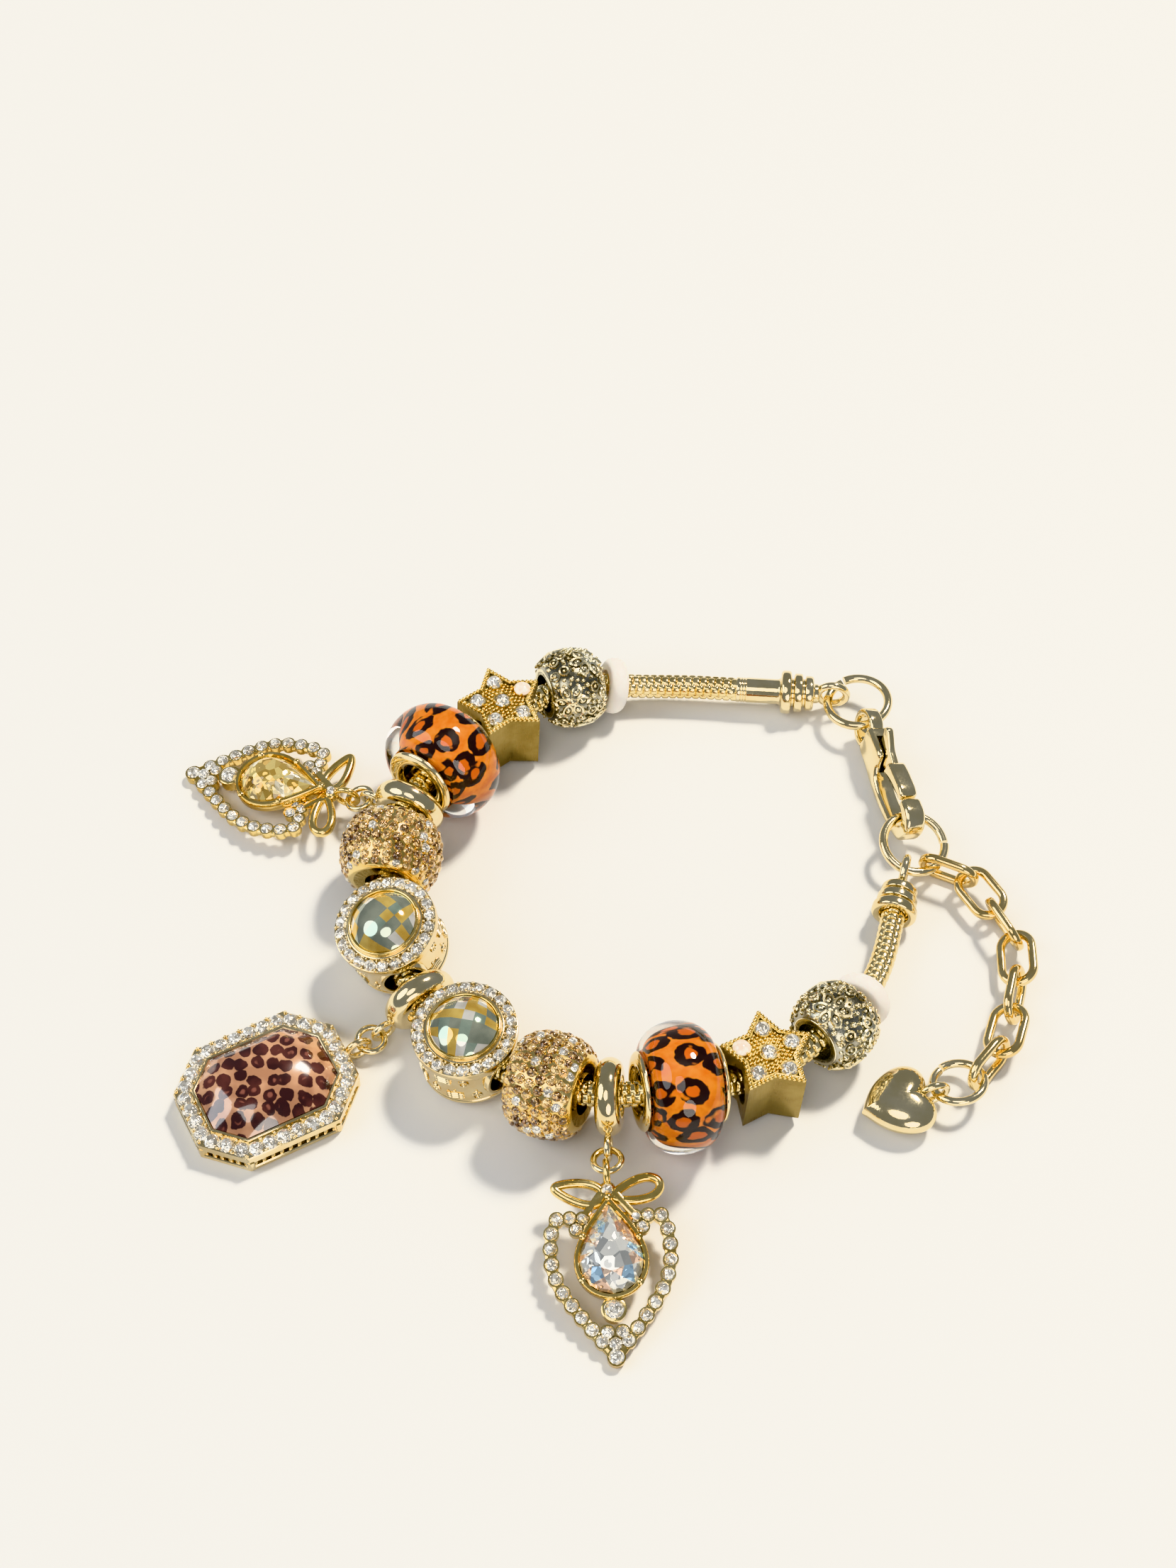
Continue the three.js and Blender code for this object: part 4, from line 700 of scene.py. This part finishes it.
def leverForm():
    px, py = clasp["pivot"]
    thumb = [(px + x, clasp["halfWidth"] * across)
             for x, across in ((1.4, 0.98), (0.5, 1.2), (-0.7, 1.45), (-1.5, 1.3), (-0.9, 0.8))]
    tongue = [(px - 1, py - 0.5), (px, py - 1.1), *claspLine((0.53, 0.24, 0), (0.56, 0.8, 0)), *thumb]
    tip = clasp["leverTip"]
    arm = [*claspLine((0.5, 0.2, 0), (0.6, 0.42, 0), (0.72, 0.5, 0)), (tip, clasp["halfWidth"] * 0.46),
           (tip, clasp["halfWidth"] * 0.84), *claspLine((0.78, 0.96, 0), (0.6, 0.97, 0), (0.5, 0.9, 0))]
    hole = slab(circle(clasp["pinHole"], 24) + clasp["pivot"], -2, 2)
    form = Form().add(cut(cast(tongue, clasp["tongue"], 0.25), hole))
    return form.add(cast(arm, clasp["arm"], 0.42))


makePiece("clasp_body", claspForm())
makePiece("clasp_lever", leverForm(), body="clasp_lever")
print("stage: clasp made")

# Silicone stoppers
stopper = {"radius": 3.5, "endRadius": 2.52, "length": 2.4, "bore": 1.92}
for side in "ab":
    makePiece("stopper_" + side, Form().add(lathe(rounded(bulged(stopper), 0.2), 56, "x")), [silicone])

# Flower balls: raised flowers, small scrolls and granules on a dark ground
ball = {
    "radius": 4.9, "endRadius": 2.9, "length": 7.0, "bore": 2.4, "sink": 0.3, "rows": (-24, 24), "perRow": 3,
    "petals": 6, "petalReach": 1.28, "petal": (0.80, 0.52), "wire": 0.15, "heart": 0.50, "wreath": 2.2, "scroll": 0.62,
    "granules": (0.24, 0.42), "collar": 3.15, "collarWidth": 0.5, "edgeGranule": 0.3, "edgeCount": 18, "edgeTurn": 66,
    "wreathGranule": 0.21, "wreathCount": 16, "wreathDrop": 0.46, "lift": 0.05,
}


def flower(form, at):
    wide, slim = ball["petal"]
    reach, lean = ball["petalReach"], ball["petalReach"] / ball["radius"]
    for c, s in circle(1, ball["petals"]):
        spin = at @ frameAt((reach * c, reach * s, -reach * lean / 2), (lean * c, lean * s, 1), (c, s, 0))
        points, faces = hoop(1, ball["wire"] / 0.5, steps=14, sides=5)
        form.add((points * (wide, slim, 0.5), faces), spin @ frameAt((0, 0, ball["lift"])))
        form.add(granule(slim * 0.62, 0.7, 1.3, 8), spin)
    form.add(granule(ball["heart"], 0.6, sides=10), at @ frameAt((0, 0, ball["lift"])))
    for x, y in circle(ball["wreath"], ball["wreathCount"]):
        form.addGrain(ball["wreathGranule"], at @ frameAt((x, y, -ball["wreathDrop"])))


def ballForm():
    ground = dict(ball, radius=ball["radius"] - ball["sink"], endRadius=ball["endRadius"] - 0.1)
    form = Form().add(lathe(bulged(ground, 28), 56, "x"), slot=1)
    half, bore, collar = ball["length"] / 2, ball["bore"], ball["collar"]
    inner = half - ball["collarWidth"]
    form.addCollars([(bore, half), (collar, half), (collar, inner), (bore, inner)], 0.15, 56)
    for side in (-1, 1):
        for turn in 2 * math.pi * np.arange(ball["edgeCount"]) / ball["edgeCount"]:
            at = onBulge(ball, math.radians(90 + side * ball["edgeTurn"]), turn, 0.16)
            form.addGrain(ball["edgeGranule"], at)
    taken = []
    for row in ball["rows"]:
        for i in range(ball["perRow"]):
            turn = math.radians(360 / ball["perRow"] * (i + (0.5 if row > 0 else 0)) + 90)
            at = onBulge(ball, math.acos(-math.sin(math.radians(row)) * ball["radius"] / half * 0.8), turn, 0.1)
            flower(form, at)
            taken.append((at[:3, 3], ball["wreath"] + 0.15))
    for tries, low, high in ((600, ball["scroll"], ball["scroll"]), (1800, *ball["granules"])):
        for k in range(tries):
            size = dice.uniform(low, high)
            at = onBulge(ball, math.radians(dice.uniform(30, 150)), dice.uniform(0, 2 * math.pi), 0.1)
            if any(np.linalg.norm(at[:3, 3] - other) < reach + size for other, reach in taken):
                continue
            taken.append((at[:3, 3], size + 0.08))
            form.add(granule(size if size < 0.4 else 0.22, sides=7), at)
            if size > 0.4:
                form.add(hoop(size - 0.05, 0.12, steps=14, sides=5), at)
    return form


for side in "ab":
    makePiece("flower_ball_" + side, ballForm(), [antiqueGold, darkGround])
print("stage: flower balls made")

# Star beads: granulated edges, a stone in each arm and one in the middle
star = {
    "radius": 5.5, "notch": 3.3, "depth": 8.2, "rimHeight": 0.35, "rimWidth": 0.55, "stone": 0.98, "reach": 3.05,
    "bore": 2.4, "granule": 0.30, "granulesPerSide": 6, "opalArm": {"a": 0, "b": 2}, "seatWall": 0.16,
    "fillRows": (0.80, 1.24, 1.68, 2.12, 2.56), "fillPitch": 0.46, "fill": 0.235, "fillReach": 4.4, "prong": 0.2,
    "prongs": 1.02,
}


def starForm(opalArm):
    half = star["depth"] / 2
    outline = circle(1, 10) * np.where(np.arange(10) % 2, star["notch"], star["radius"])[:, None]
    face = half - star["rimHeight"]
    edge = [(0.18, -half), (0.02, 0.15 - half), (0, 0.4 - half), (0, half - 0.4), (0.02, half - 0.15), (0.18, half)]
    block = layered([(inset(outline, amount), height) for amount, height in edge])
    recess = slab(inset(outline, star["rimWidth"]), face, half + 1)
    bore = lathe([(0, -9), (star["bore"], -9), (star["bore"], 9), (0, 9)], 48, "x")
    form = Form().add(cut(block, recess, bore))
    edge = inset(outline, 0.22)
    for a, b in zip(edge, np.roll(edge, -1, 0)):
        for i in range(star["granulesPerSide"]):
            x, y = a + (b - a) * i / star["granulesPerSide"]
            form.add(granule(star["granule"], sides=8), (x, y, half - 0.12), 1)
    stones = [(0.0, 0.0), *circle(star["reach"], 5)]
    for level in star["fillRows"]:
        inner = inset(outline, level)
        for a, b in zip(inner, np.roll(inner, -1, 0)):
            count = max(1, round(math.dist(a, b) / star["fillPitch"]))
            for i in range(count):
                spot = a + (b - a) * i / count
                nearest = min(math.dist(spot, stone) for stone in stones)
                if nearest > star["stone"] + star["seatWall"] and np.hypot(*spot) < star["fillReach"]:
                    form.addGrain(star["fill"], (*spot, face + 0.1), 1)
    for i, (x, y) in enumerate(stones, -1):
        place = (x, y, face)
        seat = star["stone"] + star["seatWall"]
        form.add(lathe([(0, 0), (seat, 0), (seat - 0.04, 0.3), (0, 0.3)], 20), place, 1)
        if i == opalArm:
            form.add(granule(star["stone"] * 1.1, 0.7, sides=20), (x, y, face + 0.2), 3)
        else:
            form.addStone(star["stone"], 0.62, (x, y, face + 0.25), slot=2)
        for k in range(4):
            angle = 0.4 * math.pi * i + math.pi * (k + 0.5) / 2
            prong = (x + star["prongs"] * math.cos(angle), y + star["prongs"] * math.sin(angle), face + 0.42)
            form.addGrain(star["prong"], prong, 1)
    return form


for side, arm in star["opalArm"].items():
    makePiece("star_bead_" + side, starForm(arm), [starGold, richGold, clearCrystal, opal])
print("stage: stars made")

# Glass beads: a clear ring round a printed sleeve, on a metal core with rolled flanges
glass = {"radius": 7.45, "endRadius": 4.5, "length": 7.9, "bore": 4.38}
sleeve = {"radius": 4.5, "inner": 3.4, "length": 7.6}
core = {"bore": 2.4, "tube": 2.7, "seat": 4.25, "flange": 4.5, "thickness": 0.65, "lip": 0.9}


def coreForm():
    end = core["seat"] + core["thickness"]
    half = [(core["tube"], core["seat"]), (core["flange"] - 0.1, core["seat"]), (core["flange"], core["seat"] + 0.2),
            (core["flange"] - 0.25, end - 0.15), (core["flange"] - core["lip"], end), (core["bore"] + 0.5, end - 0.1),
            (core["bore"], end - 0.5)]
    other = [(r, -h) for r, h in reversed(half)]
    profile = [*half, *other, half[0]]
    return Form().add(lathe(rounded(profile, 0.25, 3), 64, "x"))


for side in "ab":
    makePiece("glass_bead_" + side, Form().add(lathe(rounded(bulged(glass, 36), 0.1, 2), 96, "x")), [clearGlass])
    half = sleeve["length"] / 2
    tubeWall = [(sleeve["inner"], -half), (sleeve["radius"], -half), (sleeve["radius"], half), (sleeve["inner"], half),
                (sleeve["inner"], -half)]
    node = "leopard_sleeve_" + side
    leopardPrint = makeMaterial("leopardPrint" + side.upper(), {"Roughness": 0.35, "Specular IOR Level": 0.1},
                                lambda point: leopardSleeve(point, node))
    makePiece(node, Form().add(lathe(tubeWall, 72, "x")), [leopardPrint])
    makePiece("bead_core_" + side, coreForm())
print("stage: glass beads made")

# Bail rings: polished and rounded, with a small loop for a drop
bail = {"radius": 4.4, "endRadius": 3.2, "length": 2.8, "bore": 2.4, "loop": 1.3, "wire": 0.38, "reach": 5.6}
for side in "abc":
    form = Form().add(lathe(rounded(bulged(bail, 24), 0.15), 72, "x"))
    form.add(hoop(bail["loop"], bail["wire"], "x"), (0, 0, -bail["reach"]))
    makePiece("bail_ring_" + side, form)

# Pave beads: staggered rows of small stones with granules between them
pave = {
    "radius": 6.1, "endRadius": 3.9, "length": 8.3, "bore": 2.4, "rows": 8, "from": 27, "stone": 0.64,
    "pitch": 1.33, "rise": 0.42, "sink": 0.40, "tilt": 0.22, "granule": 0.15, "collar": (3.95, 4.15, 0.5, 0.55),
    "tones": (1, 1, 1, 1, 2, 2, 2, 3),
}


def paveForm():
    ground = dict(pave, radius=pave["radius"] - pave["sink"], endRadius=pave["endRadius"] - 0.1)
    half, bore, (end, wide, low, lower) = pave["length"] / 2, pave["bore"], pave["collar"]
    form = Form().add(lathe(bulged(ground, 28), 64, "x"))
    form.addCollars([(bore, half), (end, half), (wide, half - lower), (bore, half - low)], 0.2, 64)
    step = math.radians((180 - 2 * pave["from"]) / (pave["rows"] - 1))
    for row in range(pave["rows"]):
        t = math.radians(pave["from"]) + step * row
        radius = pave["endRadius"] + (pave["radius"] - pave["endRadius"]) * math.sin(t)
        count = int(2 * math.pi * radius / pave["pitch"])
        for i in range(count):
            turn = 2 * math.pi * (i + 0.5 * (row % 2)) / count
            lean = frameAt((0, 0, 0), (*(dice.uniform(-pave["tilt"], pave["tilt"]) for k in range(2)), 1))
            at = onBulge(pave, t, turn, pave["rise"] - 0.02) @ lean
            form.addStone(pave["stone"], pave["rise"], at, 0.25, 12, dice.choice(pave["tones"]))
            if row < pave["rows"] - 1:
                form.addGrain(pave["granule"], onBulge(pave, t + step / 2, turn, 0.24))
    return form


for side in "ab":
    makePiece("pave_bead_" + side, paveForm(), [richGold, champagneCrystal, darkCrystal, clearCrystal])
print("stage: pave beads made")

# Drum beads: a halo of stones and a double bezel over a drum with raised scrolls round its side
drum = {
    "radius": 5.7, "depth": 7.6, "halo": 6.05, "plate": 1.3, "bezel": 4.2, "wall": 0.3, "bezelHeight": 0.8,
    "stones": 22, "stone": 0.75, "bore": 2.4, "reliefRows": (1.15, -1.75), "reliefCount": 14, "reliefRadius": 5.56,
    "dashes": (-0.42, 0, 0.42), "dashWire": 0.15, "rosette": 0.5, "grain": 0.19, "bare": 3.4, "panel": (-2.8, 2.1),
    "panelDepth": 0.14, "floor": 0.4, "ledge": 0.35, "groove": 0.2, "collar": (2.85, 5.0, 5.72),
}
gem = {"radius": 3.85, "foot": 3.7, "shoulder": 4.5, "dome": 1.67, "cells": 6}


def drumForm():
    radius, halo, bezel, groove, ledge = (drum[key] for key in ("radius", "halo", "bezel", "groove", "ledge"))
    top, panel, (low, high) = drum["depth"] / 2, radius - drum["panelDepth"], drum["panel"]
    plate, rim, seat = top - drum["plate"], top + drum["bezelHeight"], bezel - drum["wall"]
    profile = [(0, -top), (radius - 0.5, -top), (radius, 0.5 - top), (radius, low - 0.1), (panel, low), (panel, high),
               (radius, high + 0.1), (radius, plate), (halo, plate + 0.15), (halo, top), (halo - 0.25, top),
               (halo - 0.25, top - groove), (bezel + ledge, top - groove), (bezel + ledge, top + ledge),
               (bezel + 0.05, top + ledge), (bezel, top + 0.3), (bezel, rim), (seat, rim),
               (seat, top - drum["floor"]), (0, top - drum["floor"])]
    bore = lathe([(0, -9), (drum["bore"], -9), (drum["bore"], 9), (0, 9)], 48, "x")
    form = Form().add(cut(lathe(rounded(profile, 0.12, 2), 72), bore))
    reach = (halo + bezel) / 2 + 0.12
    for x, y in circle(reach, drum["stones"]):
        form.addStone(drum["stone"], 0.5, (x, y, top))
    for x, y in np.concatenate([circle(reach + shift, 2 * drum["stones"])[1::2] for shift in (0.62, -0.58)]):
        form.addGrain(drum["grain"], (x, y, top + 0.1))
    form.add(hoop(bezel - 0.15, 0.17, steps=64), (0, 0, rim - 0.12), 2)
    outer, inside, end = drum["collar"]
    form.addCollars([(drum["bore"], inside), (outer, inside), (outer, end), (drum["bore"], end)], 0.12, 48)
    wave = np.linspace(-1, 1, 9)
    dashes = [tube(np.stack([wave, drift + 0.12 * np.sin(3 * wave), 0.03 + 0 * wave], 1), drum["dashWire"], 6)
              for drift in drum["dashes"]]
    flowers = [hoop(drum["rosette"], drum["dashWire"], steps=20, sides=6), granule(0.24, sides=8)]
    for row, height in enumerate(drum["reliefRows"]):
        for i in range(drum["reliefCount"]):
            turn = 2 * math.pi * (i + 0.5 * row) / drum["reliefCount"]
            c, s = math.cos(turn), math.sin(turn)
            if abs(s) * radius < drum["bare"]:  # kept clear of the bore's collars
                continue
            at = frameAt((c * drum["reliefRadius"], s * drum["reliefRadius"], height), (c, s, 0), (-s, c, 0))
            for shape in dashes if i % 2 else flowers:
                form.add(shape, at)
            form.add(granule(0.2, sides=8), at @ frameAt((0, 1.25 - 0.3 * row, 0)))
    return form


def gemForm():
    count = gem["cells"]
    grid = np.linspace(-1, 1, count + 1)
    u, v = np.meshgrid(grid, grid)
    x, y = u * np.sqrt(1 - v ** 2 / 2), v * np.sqrt(1 - u ** 2 / 2)
    rho = np.clip(np.hypot(x, y), 0, 1)
    z = gem["shoulder"] + gem["dome"] * (1 - rho ** 2.4) ** 0.85
    z[1:-1, 1:-1] += [[dice.uniform(-0.07, 0.03) for k in range(count - 1)] for j in range(count - 1)]
    points = np.stack([gem["radius"] * x, gem["radius"] * y, z], 2).reshape(-1, 3)
    side = count + 1
    faces = [(i * side + j, i * side + j + 1, (i + 1) * side + j + 1, (i + 1) * side + j)
             for i in range(count) for j in range(count)]
    turned = frameAt((0, 0, 0), along=(math.cos(0.5), math.sin(0.5), 0))
    # Each facet takes one of the four facet tones at random; the grey and green ones are painted sky reflections.
    tones = [dice.choices(range(4), (4, 3, 4, 2))[0] for face in faces]
    form = Form().add((points, faces), turned, tones, True)
    wall = lathe([(gem["radius"], gem["shoulder"]), (gem["radius"] - 0.25, gem["foot"]), (0, gem["foot"])], 28)
    return form.add(wall, slot=2)


for side in "ab":
    makePiece("drum_bead_" + side, drumForm(), [drumGold, clearCrystal, richGold])
    makePiece("round_stone_" + side, gemForm(), [greySkyReflectionFacet, greenSkyReflectionFacet, goldFacet, paleFacet])
print("stage: drums made")

# Octagon drop: a pierced gallery under a halo, with a raised printed stone
octagon = {
    "length": 19.6, "width": 15.8, "corner": 4.3, "height": 3.0, "rim": 2.15, "centre": 11.3, "slotLow": 0.75,
    "slotHigh": 1.65, "stone": 0.94, "pitch": 1.82, "pillar": 0.3, "pillarPitch": 2.1, "loop": 1.35, "wire": 0.38,
    "loopHeight": 1.74, "post": 0.5, "postLine": 0.955, "grain": 0.2, "grainShift": 0.76,
}
printed = {"length": 15.0, "width": 11.2, "corner": 2.9, "foot": 1.9, "girdle": 3.3, "top": 5.3, "table": 0.66}


def octagonOutline(length, width, corner):
    l, h = length / 2, width / 2
    return np.array([(l, -h + corner), (l, h - corner), (l - corner, h), (-l + corner, h), (-l, h - corner),
                     (-l, -h + corner), (-l + corner, -h), (l - corner, -h)])


def alongSides(outline, pitch):
    for a, b in zip(outline, np.roll(outline, -1, 0)):
        count = max(1, round(np.linalg.norm(b - a) / pitch))
        for i in range(count):
            yield a + (b - a) * (i + 0.5) / count, unit(b - a)


def octagonForm():
    rim, low, high, top = (octagon[key] for key in ("rim", "slotLow", "slotHigh", "height"))
    outline, centre = octagonOutline(octagon["length"], octagon["width"], octagon["corner"]), octagon["centre"]
    form = Form()
    for edge, width, floor, face, soft in (
            (0, rim, 0, low, 0.12), (0, rim, high, top - 0.1, 0.12), (1.1, 0.7, 0.4, top - 0.5, 0.12),
            (rim - 0.25, 0.35, 1.6, top + 0.35, 0.08)):
        form.add(rail(inset(outline, edge), width, floor, face, soft), (centre, 0, 0))
    posts = [(place + along * octagon["pillarPitch"] * shift, octagon["pillar"], 8)
             for place, along in alongSides(inset(outline, 0.42), octagon["pillarPitch"]) for shift in (-0.25, 0.25)]
    for (x, y), radius, sides in posts + [(corner * octagon["postLine"], octagon["post"], 10) for corner in outline]:
        form.add(slab(circle(radius, sides), low - 0.2, high + 0.2), (x + centre, y, 0))
    for place, along in alongSides(inset(outline, 0.95), octagon["pitch"]):
        form.addStone(octagon["stone"], 0.55, (place[0] + centre, place[1], top - 0.1))
        for shift in (-octagon["grainShift"], octagon["grainShift"]):
            x, y = place + along * octagon["pitch"] * 0.5 + np.array([-along[1], along[0]]) * shift
            form.addGrain(octagon["grain"], (x + centre, y, top + 0.05))
    return form.add(hoop(octagon["loop"], octagon["wire"], "y"), (0, 0, octagon["loopHeight"]))


def halved(outline):
    return np.stack([outline, (outline + np.roll(outline, -1, 0)) / 2], 1).reshape(-1, 2)


def printedForm():
    outline = halved(octagonOutline(printed["length"], printed["width"], printed["corner"]))
    rise, foot = printed["top"] - printed["girdle"], printed["girdle"] - printed["foot"]
    stone = cutStone(outline, rise, printed["table"], foot)
    return Form().add(stone, (octagon["centre"], 0, printed["girdle"]), flat=True)


makePiece("octagon_frame", octagonForm(), [drumGold, clearCrystal])
makePiece("octagon_stone", printedForm(), [spottedCrystal])
print("stage: octagon drop made")

# Bow drops: a wire bow over a leaf of stones, with a pear stone in a collet
leaf = {
    "halfWidth": 6.5, "length": 15.2, "band": 1.3, "thickness": 1.1, "top": 4.75, "stone": 0.72, "perSide": 10,
    "topStones": ((0.1, 4.25), (0.2, 2.85), (1.35, 3.6), (1.3, 2.1)),
    "tipStones": ((-2.5, 0.8, 0.7), (-2.5, -0.8, 0.7), (-1.25, 0, 0.72), (0.15, 0, 0.86)),
    "table": ((0, 0.86), (0.1, 0.97), (0.22, 1), (0.36, 0.99), (0.5, 0.89), (0.64, 0.68), (0.8, 0.4), (1, 0.02)),
}
bow = {
    "halfSpan": 6.0, "height": 3.2, "ribbon": 0.5, "rise": 3.2, "loop": 1.35, "wire": 0.38, "accent": 1.15,
    "tail": 0.42, "tailLine": ((1.9, 0.5, 0.9), (2.8, 1.2, 1.0), (4.1, 2.2, 0.95), (5.3, 3.3, 0.8)), "knot": 1.05,
    "knotStone": 0.62, "tilt": 14, "wallTop": 1.7,
}
pear = {
    "length": 10.6, "width": 7.4, "wall": 0.35, "height": 1.9, "centre": 10.05, "foot": 1.1,
    "girdle": 1.99, "top": 3.94, "low": 0.44, "table": 0.52, "prong": 0.42, "prongs": (0.0, 0.2, 0.8, 0.4, 0.6),
}


def pearOutline(length, width, count=8):
    r, tip = width / 2, length - width / 2
    half = np.concatenate([
        bezier([(-tip, 0), (-tip * 0.62, -r * 0.55), (-r * 0.6, -r), (0, -r)], count),
        bezier([(0, -r), (r * 0.55, -r), (r, -r * 0.55), (r, 0)], count // 2)])
    return np.concatenate([half, [(r, 0)], half[:0:-1] * (1, -1)])


def setStone(form, along, across, cup, radius, rise):
    form.add(lathe([(0, cup[0][1]), *cup, (0, cup[-1][1])], 16), (along, across, 0))
    form.addStone(radius, rise, (along, across, cup[-1][1]), 0.2, 12)


def bowForm():
    form, start, thick, span = Form(), leaf["top"], leaf["thickness"], bow["halfSpan"]
    shares, table = np.linspace(0, 1, 40), np.array(leaf["table"])
    across = np.interp(shares, *table.T) * leaf["halfWidth"]
    for side in (-1, 1):
        line = np.stack([start + leaf["length"] * shares, side * across], 1)
        form.add(tube(np.insert(line, 2, thick / 2, axis=1), leaf["band"] / 2, 10, square=3,
                      flatten=thick / leaf["band"]))
        lengths = lengthsOf(line)
        for x, y in pointsAt(line, lengths, np.linspace(0.2, lengths[-1] - 2.0, leaf["perSide"])):
            setStone(form, x, y, ((0.86, 0.1), (0.90, 0.5), (0.86, thick)), leaf["stone"], 0.45)
        top = [(start, 0, 0.55), (start - 0.1, side * 2.4, 0.55), (start, side * 5.59, 0.55)]
        form.add(tube(top, bow["tail"], 8))
        for x, y in leaf["topStones"]:
            setStone(form, start + x, side * y, ((0.84, 0.1), (0.84, 1.0)), 0.66, 0.42)
        spin = math.radians(90 + side * bow["tilt"])
        at = frameAt((start - bow["rise"] + 0.5, side * span * 0.52, thick * 0.7),
                     along=(math.cos(spin), math.sin(spin), 0))
        c, s = circle(1, 40).T
        reach, width = (1 - c) / 2, (bow["height"] - bow["ribbon"]) / 2
        loop = np.stack([span * (0.90 * reach - 0.45), width * s * (0.5 + 0.62 * reach), 0 * reach], 1)
        form.add(tube(loop, bow["ribbon"], 12, True, square=3.0, flatten=1.15), at)
        form.add(tube(np.multiply(bow["tailLine"], (1, side, 1)), bow["tail"], 8, square=3))
    knot = start - bow["rise"] + 0.4
    form.add(granule(bow["knot"], 0.8, sides=16), (knot, 0, 0.85))
    form.addStone(bow["knotStone"], 0.4, (knot, 0, 1.62), 0.2, 12)
    form.add(tube([(knot, 0, 0.6), (start + 0.6, 0, 0.6)], 0.6, 8))
    outer = pearOutline(pear["length"] + 0.7, pear["width"] + 2 * pear["wall"], 24) + (pear["centre"], 0)
    low, high = pear["low"], pear["low"] + pear["height"]
    collet = ((0.35, low), (0, low + 0.5), (0, high - 0.15), (0.12, high), (0.45, high), (0.6, high - 0.35),
              (0.9, low + 0.5))
    form.add(layered([(inset(outer, amount), height) for amount, height in collet]))
    for share in pear["prongs"]:
        x, y = outer[int(share * len(outer))]
        form.add(granule(pear["prong"], 0.7, sides=10), (x * 0.97 + pear["centre"] * 0.03, y * 0.93, high))
    accent = pear["centre"] + pear["width"] / 2 + pear["wall"] + bow["accent"] * 0.9
    wall = bow["wallTop"]
    form.add(lathe([(0, 0.2), (1.3, 0.2), (1.38, wall), (1.2, wall + 0.1), (0, wall - 0.1)], 24), (accent, 0, 0))
    form.addStone(bow["accent"], 0.7, (accent, 0, wall))
    end = start + leaf["length"]
    for x, y, radius in leaf["tipStones"]:
        setStone(form, end + x, y, ((radius + 0.16, 0), (radius + 0.16, thick)), radius, 0.5)
    return form.add(hoop(bow["loop"], bow["wire"], "y"), (0, 0, thick * 0.7))


def pearForm():
    outline = pearOutline(pear["length"] - 0.8, pear["width"] - 0.5, 8) + (pear["centre"], 0)
    rise = pear["top"] - pear["girdle"]
    stone = cutStone(outline, rise, pear["table"], pear["girdle"] - pear["foot"], (pear["centre"] - 0.6, 0))
    # The table takes the first tone and every other facet one of three at random: painted facet light and shade over
    # the stone's own colour.
    tones = [0] + [dice.choices(range(3), (5, 3, 1))[0] for face in stone[1][1:]]
    return Form().add(stone, (0, 0, pear["girdle"]), tones, True)


for side, tones in (("a", [yellowFacet, creamFacet, amberFacet]), ("c", [clearFacet, roseFacet, blueFacet])):
    makePiece("bow_frame_" + side, bowForm(), [richGold, clearCrystal])
    makePiece("pear_stone_" + side, pearForm(), tones)
print("stage: bow drops made")

# Floor, light and camera
floorMesh = bpy.data.meshes.new("floor")
floorMesh.from_pydata([(-4, -4, 0), (4, -4, 0), (4, 4, 0), (-4, 4, 0)], [], [(0, 1, 2, 3)])
floorMesh.materials.append(makeMaterial("floor", {"Base Color": (0.70, 0.69, 0.67, 1), "Roughness": 0.6}))
floor = newObject("floor", floorMesh)

world = bpy.data.worlds.new("studio")
bpy.context.scene.world = world
world.use_nodes = True
world.node_tree.nodes["Background"].inputs[0].default_value = (0.58, 0.63, 0.70, 1)
world.node_tree.nodes["Background"].inputs[1].default_value = 0.40
for name, place, size, power, colour in (
        ("key", (0.80, 0.96, 1.68), 0.40, 62, (1.0, 0.94, 0.83)),
        ("fill", (-1.8, -0.2, 1.4), 1.6, 24, (0.92, 0.96, 1.0)),
        ("front", (0.4, -2.0, 0.88), 1.2, 17, (1.0, 0.95, 0.88)),
        ("top", (-0.5, -1.1, 2.3), 1.3, 13, (1.0, 0.98, 0.95))):
    light = bpy.data.lights.new(name, "AREA")
    light.shape, light.size, light.energy, light.color = "DISK", size, power, colour
    lamp = newObject(name, light)
    lamp.location = place
    lamp.rotation_euler = (-Vector(place)).to_track_quat("-Z", "Y").to_euler()
bpy.context.scene.view_settings.view_transform = "Khronos PBR Neutral"

lens = {"place": (-0.001359, -0.157377, 0.262955), "pitch": 35.5, "focal": 60.22}
camera = newObject("camera", bpy.data.cameras.new("camera"))
camera.data.lens, camera.data.sensor_width = lens["focal"], 36.0
camera.data.clip_start = 0.01
camera.location = lens["place"]
camera.rotation_euler = (math.radians(lens["pitch"]), 0, 0)
bpy.context.scene.camera = camera
print("stage: stage set")
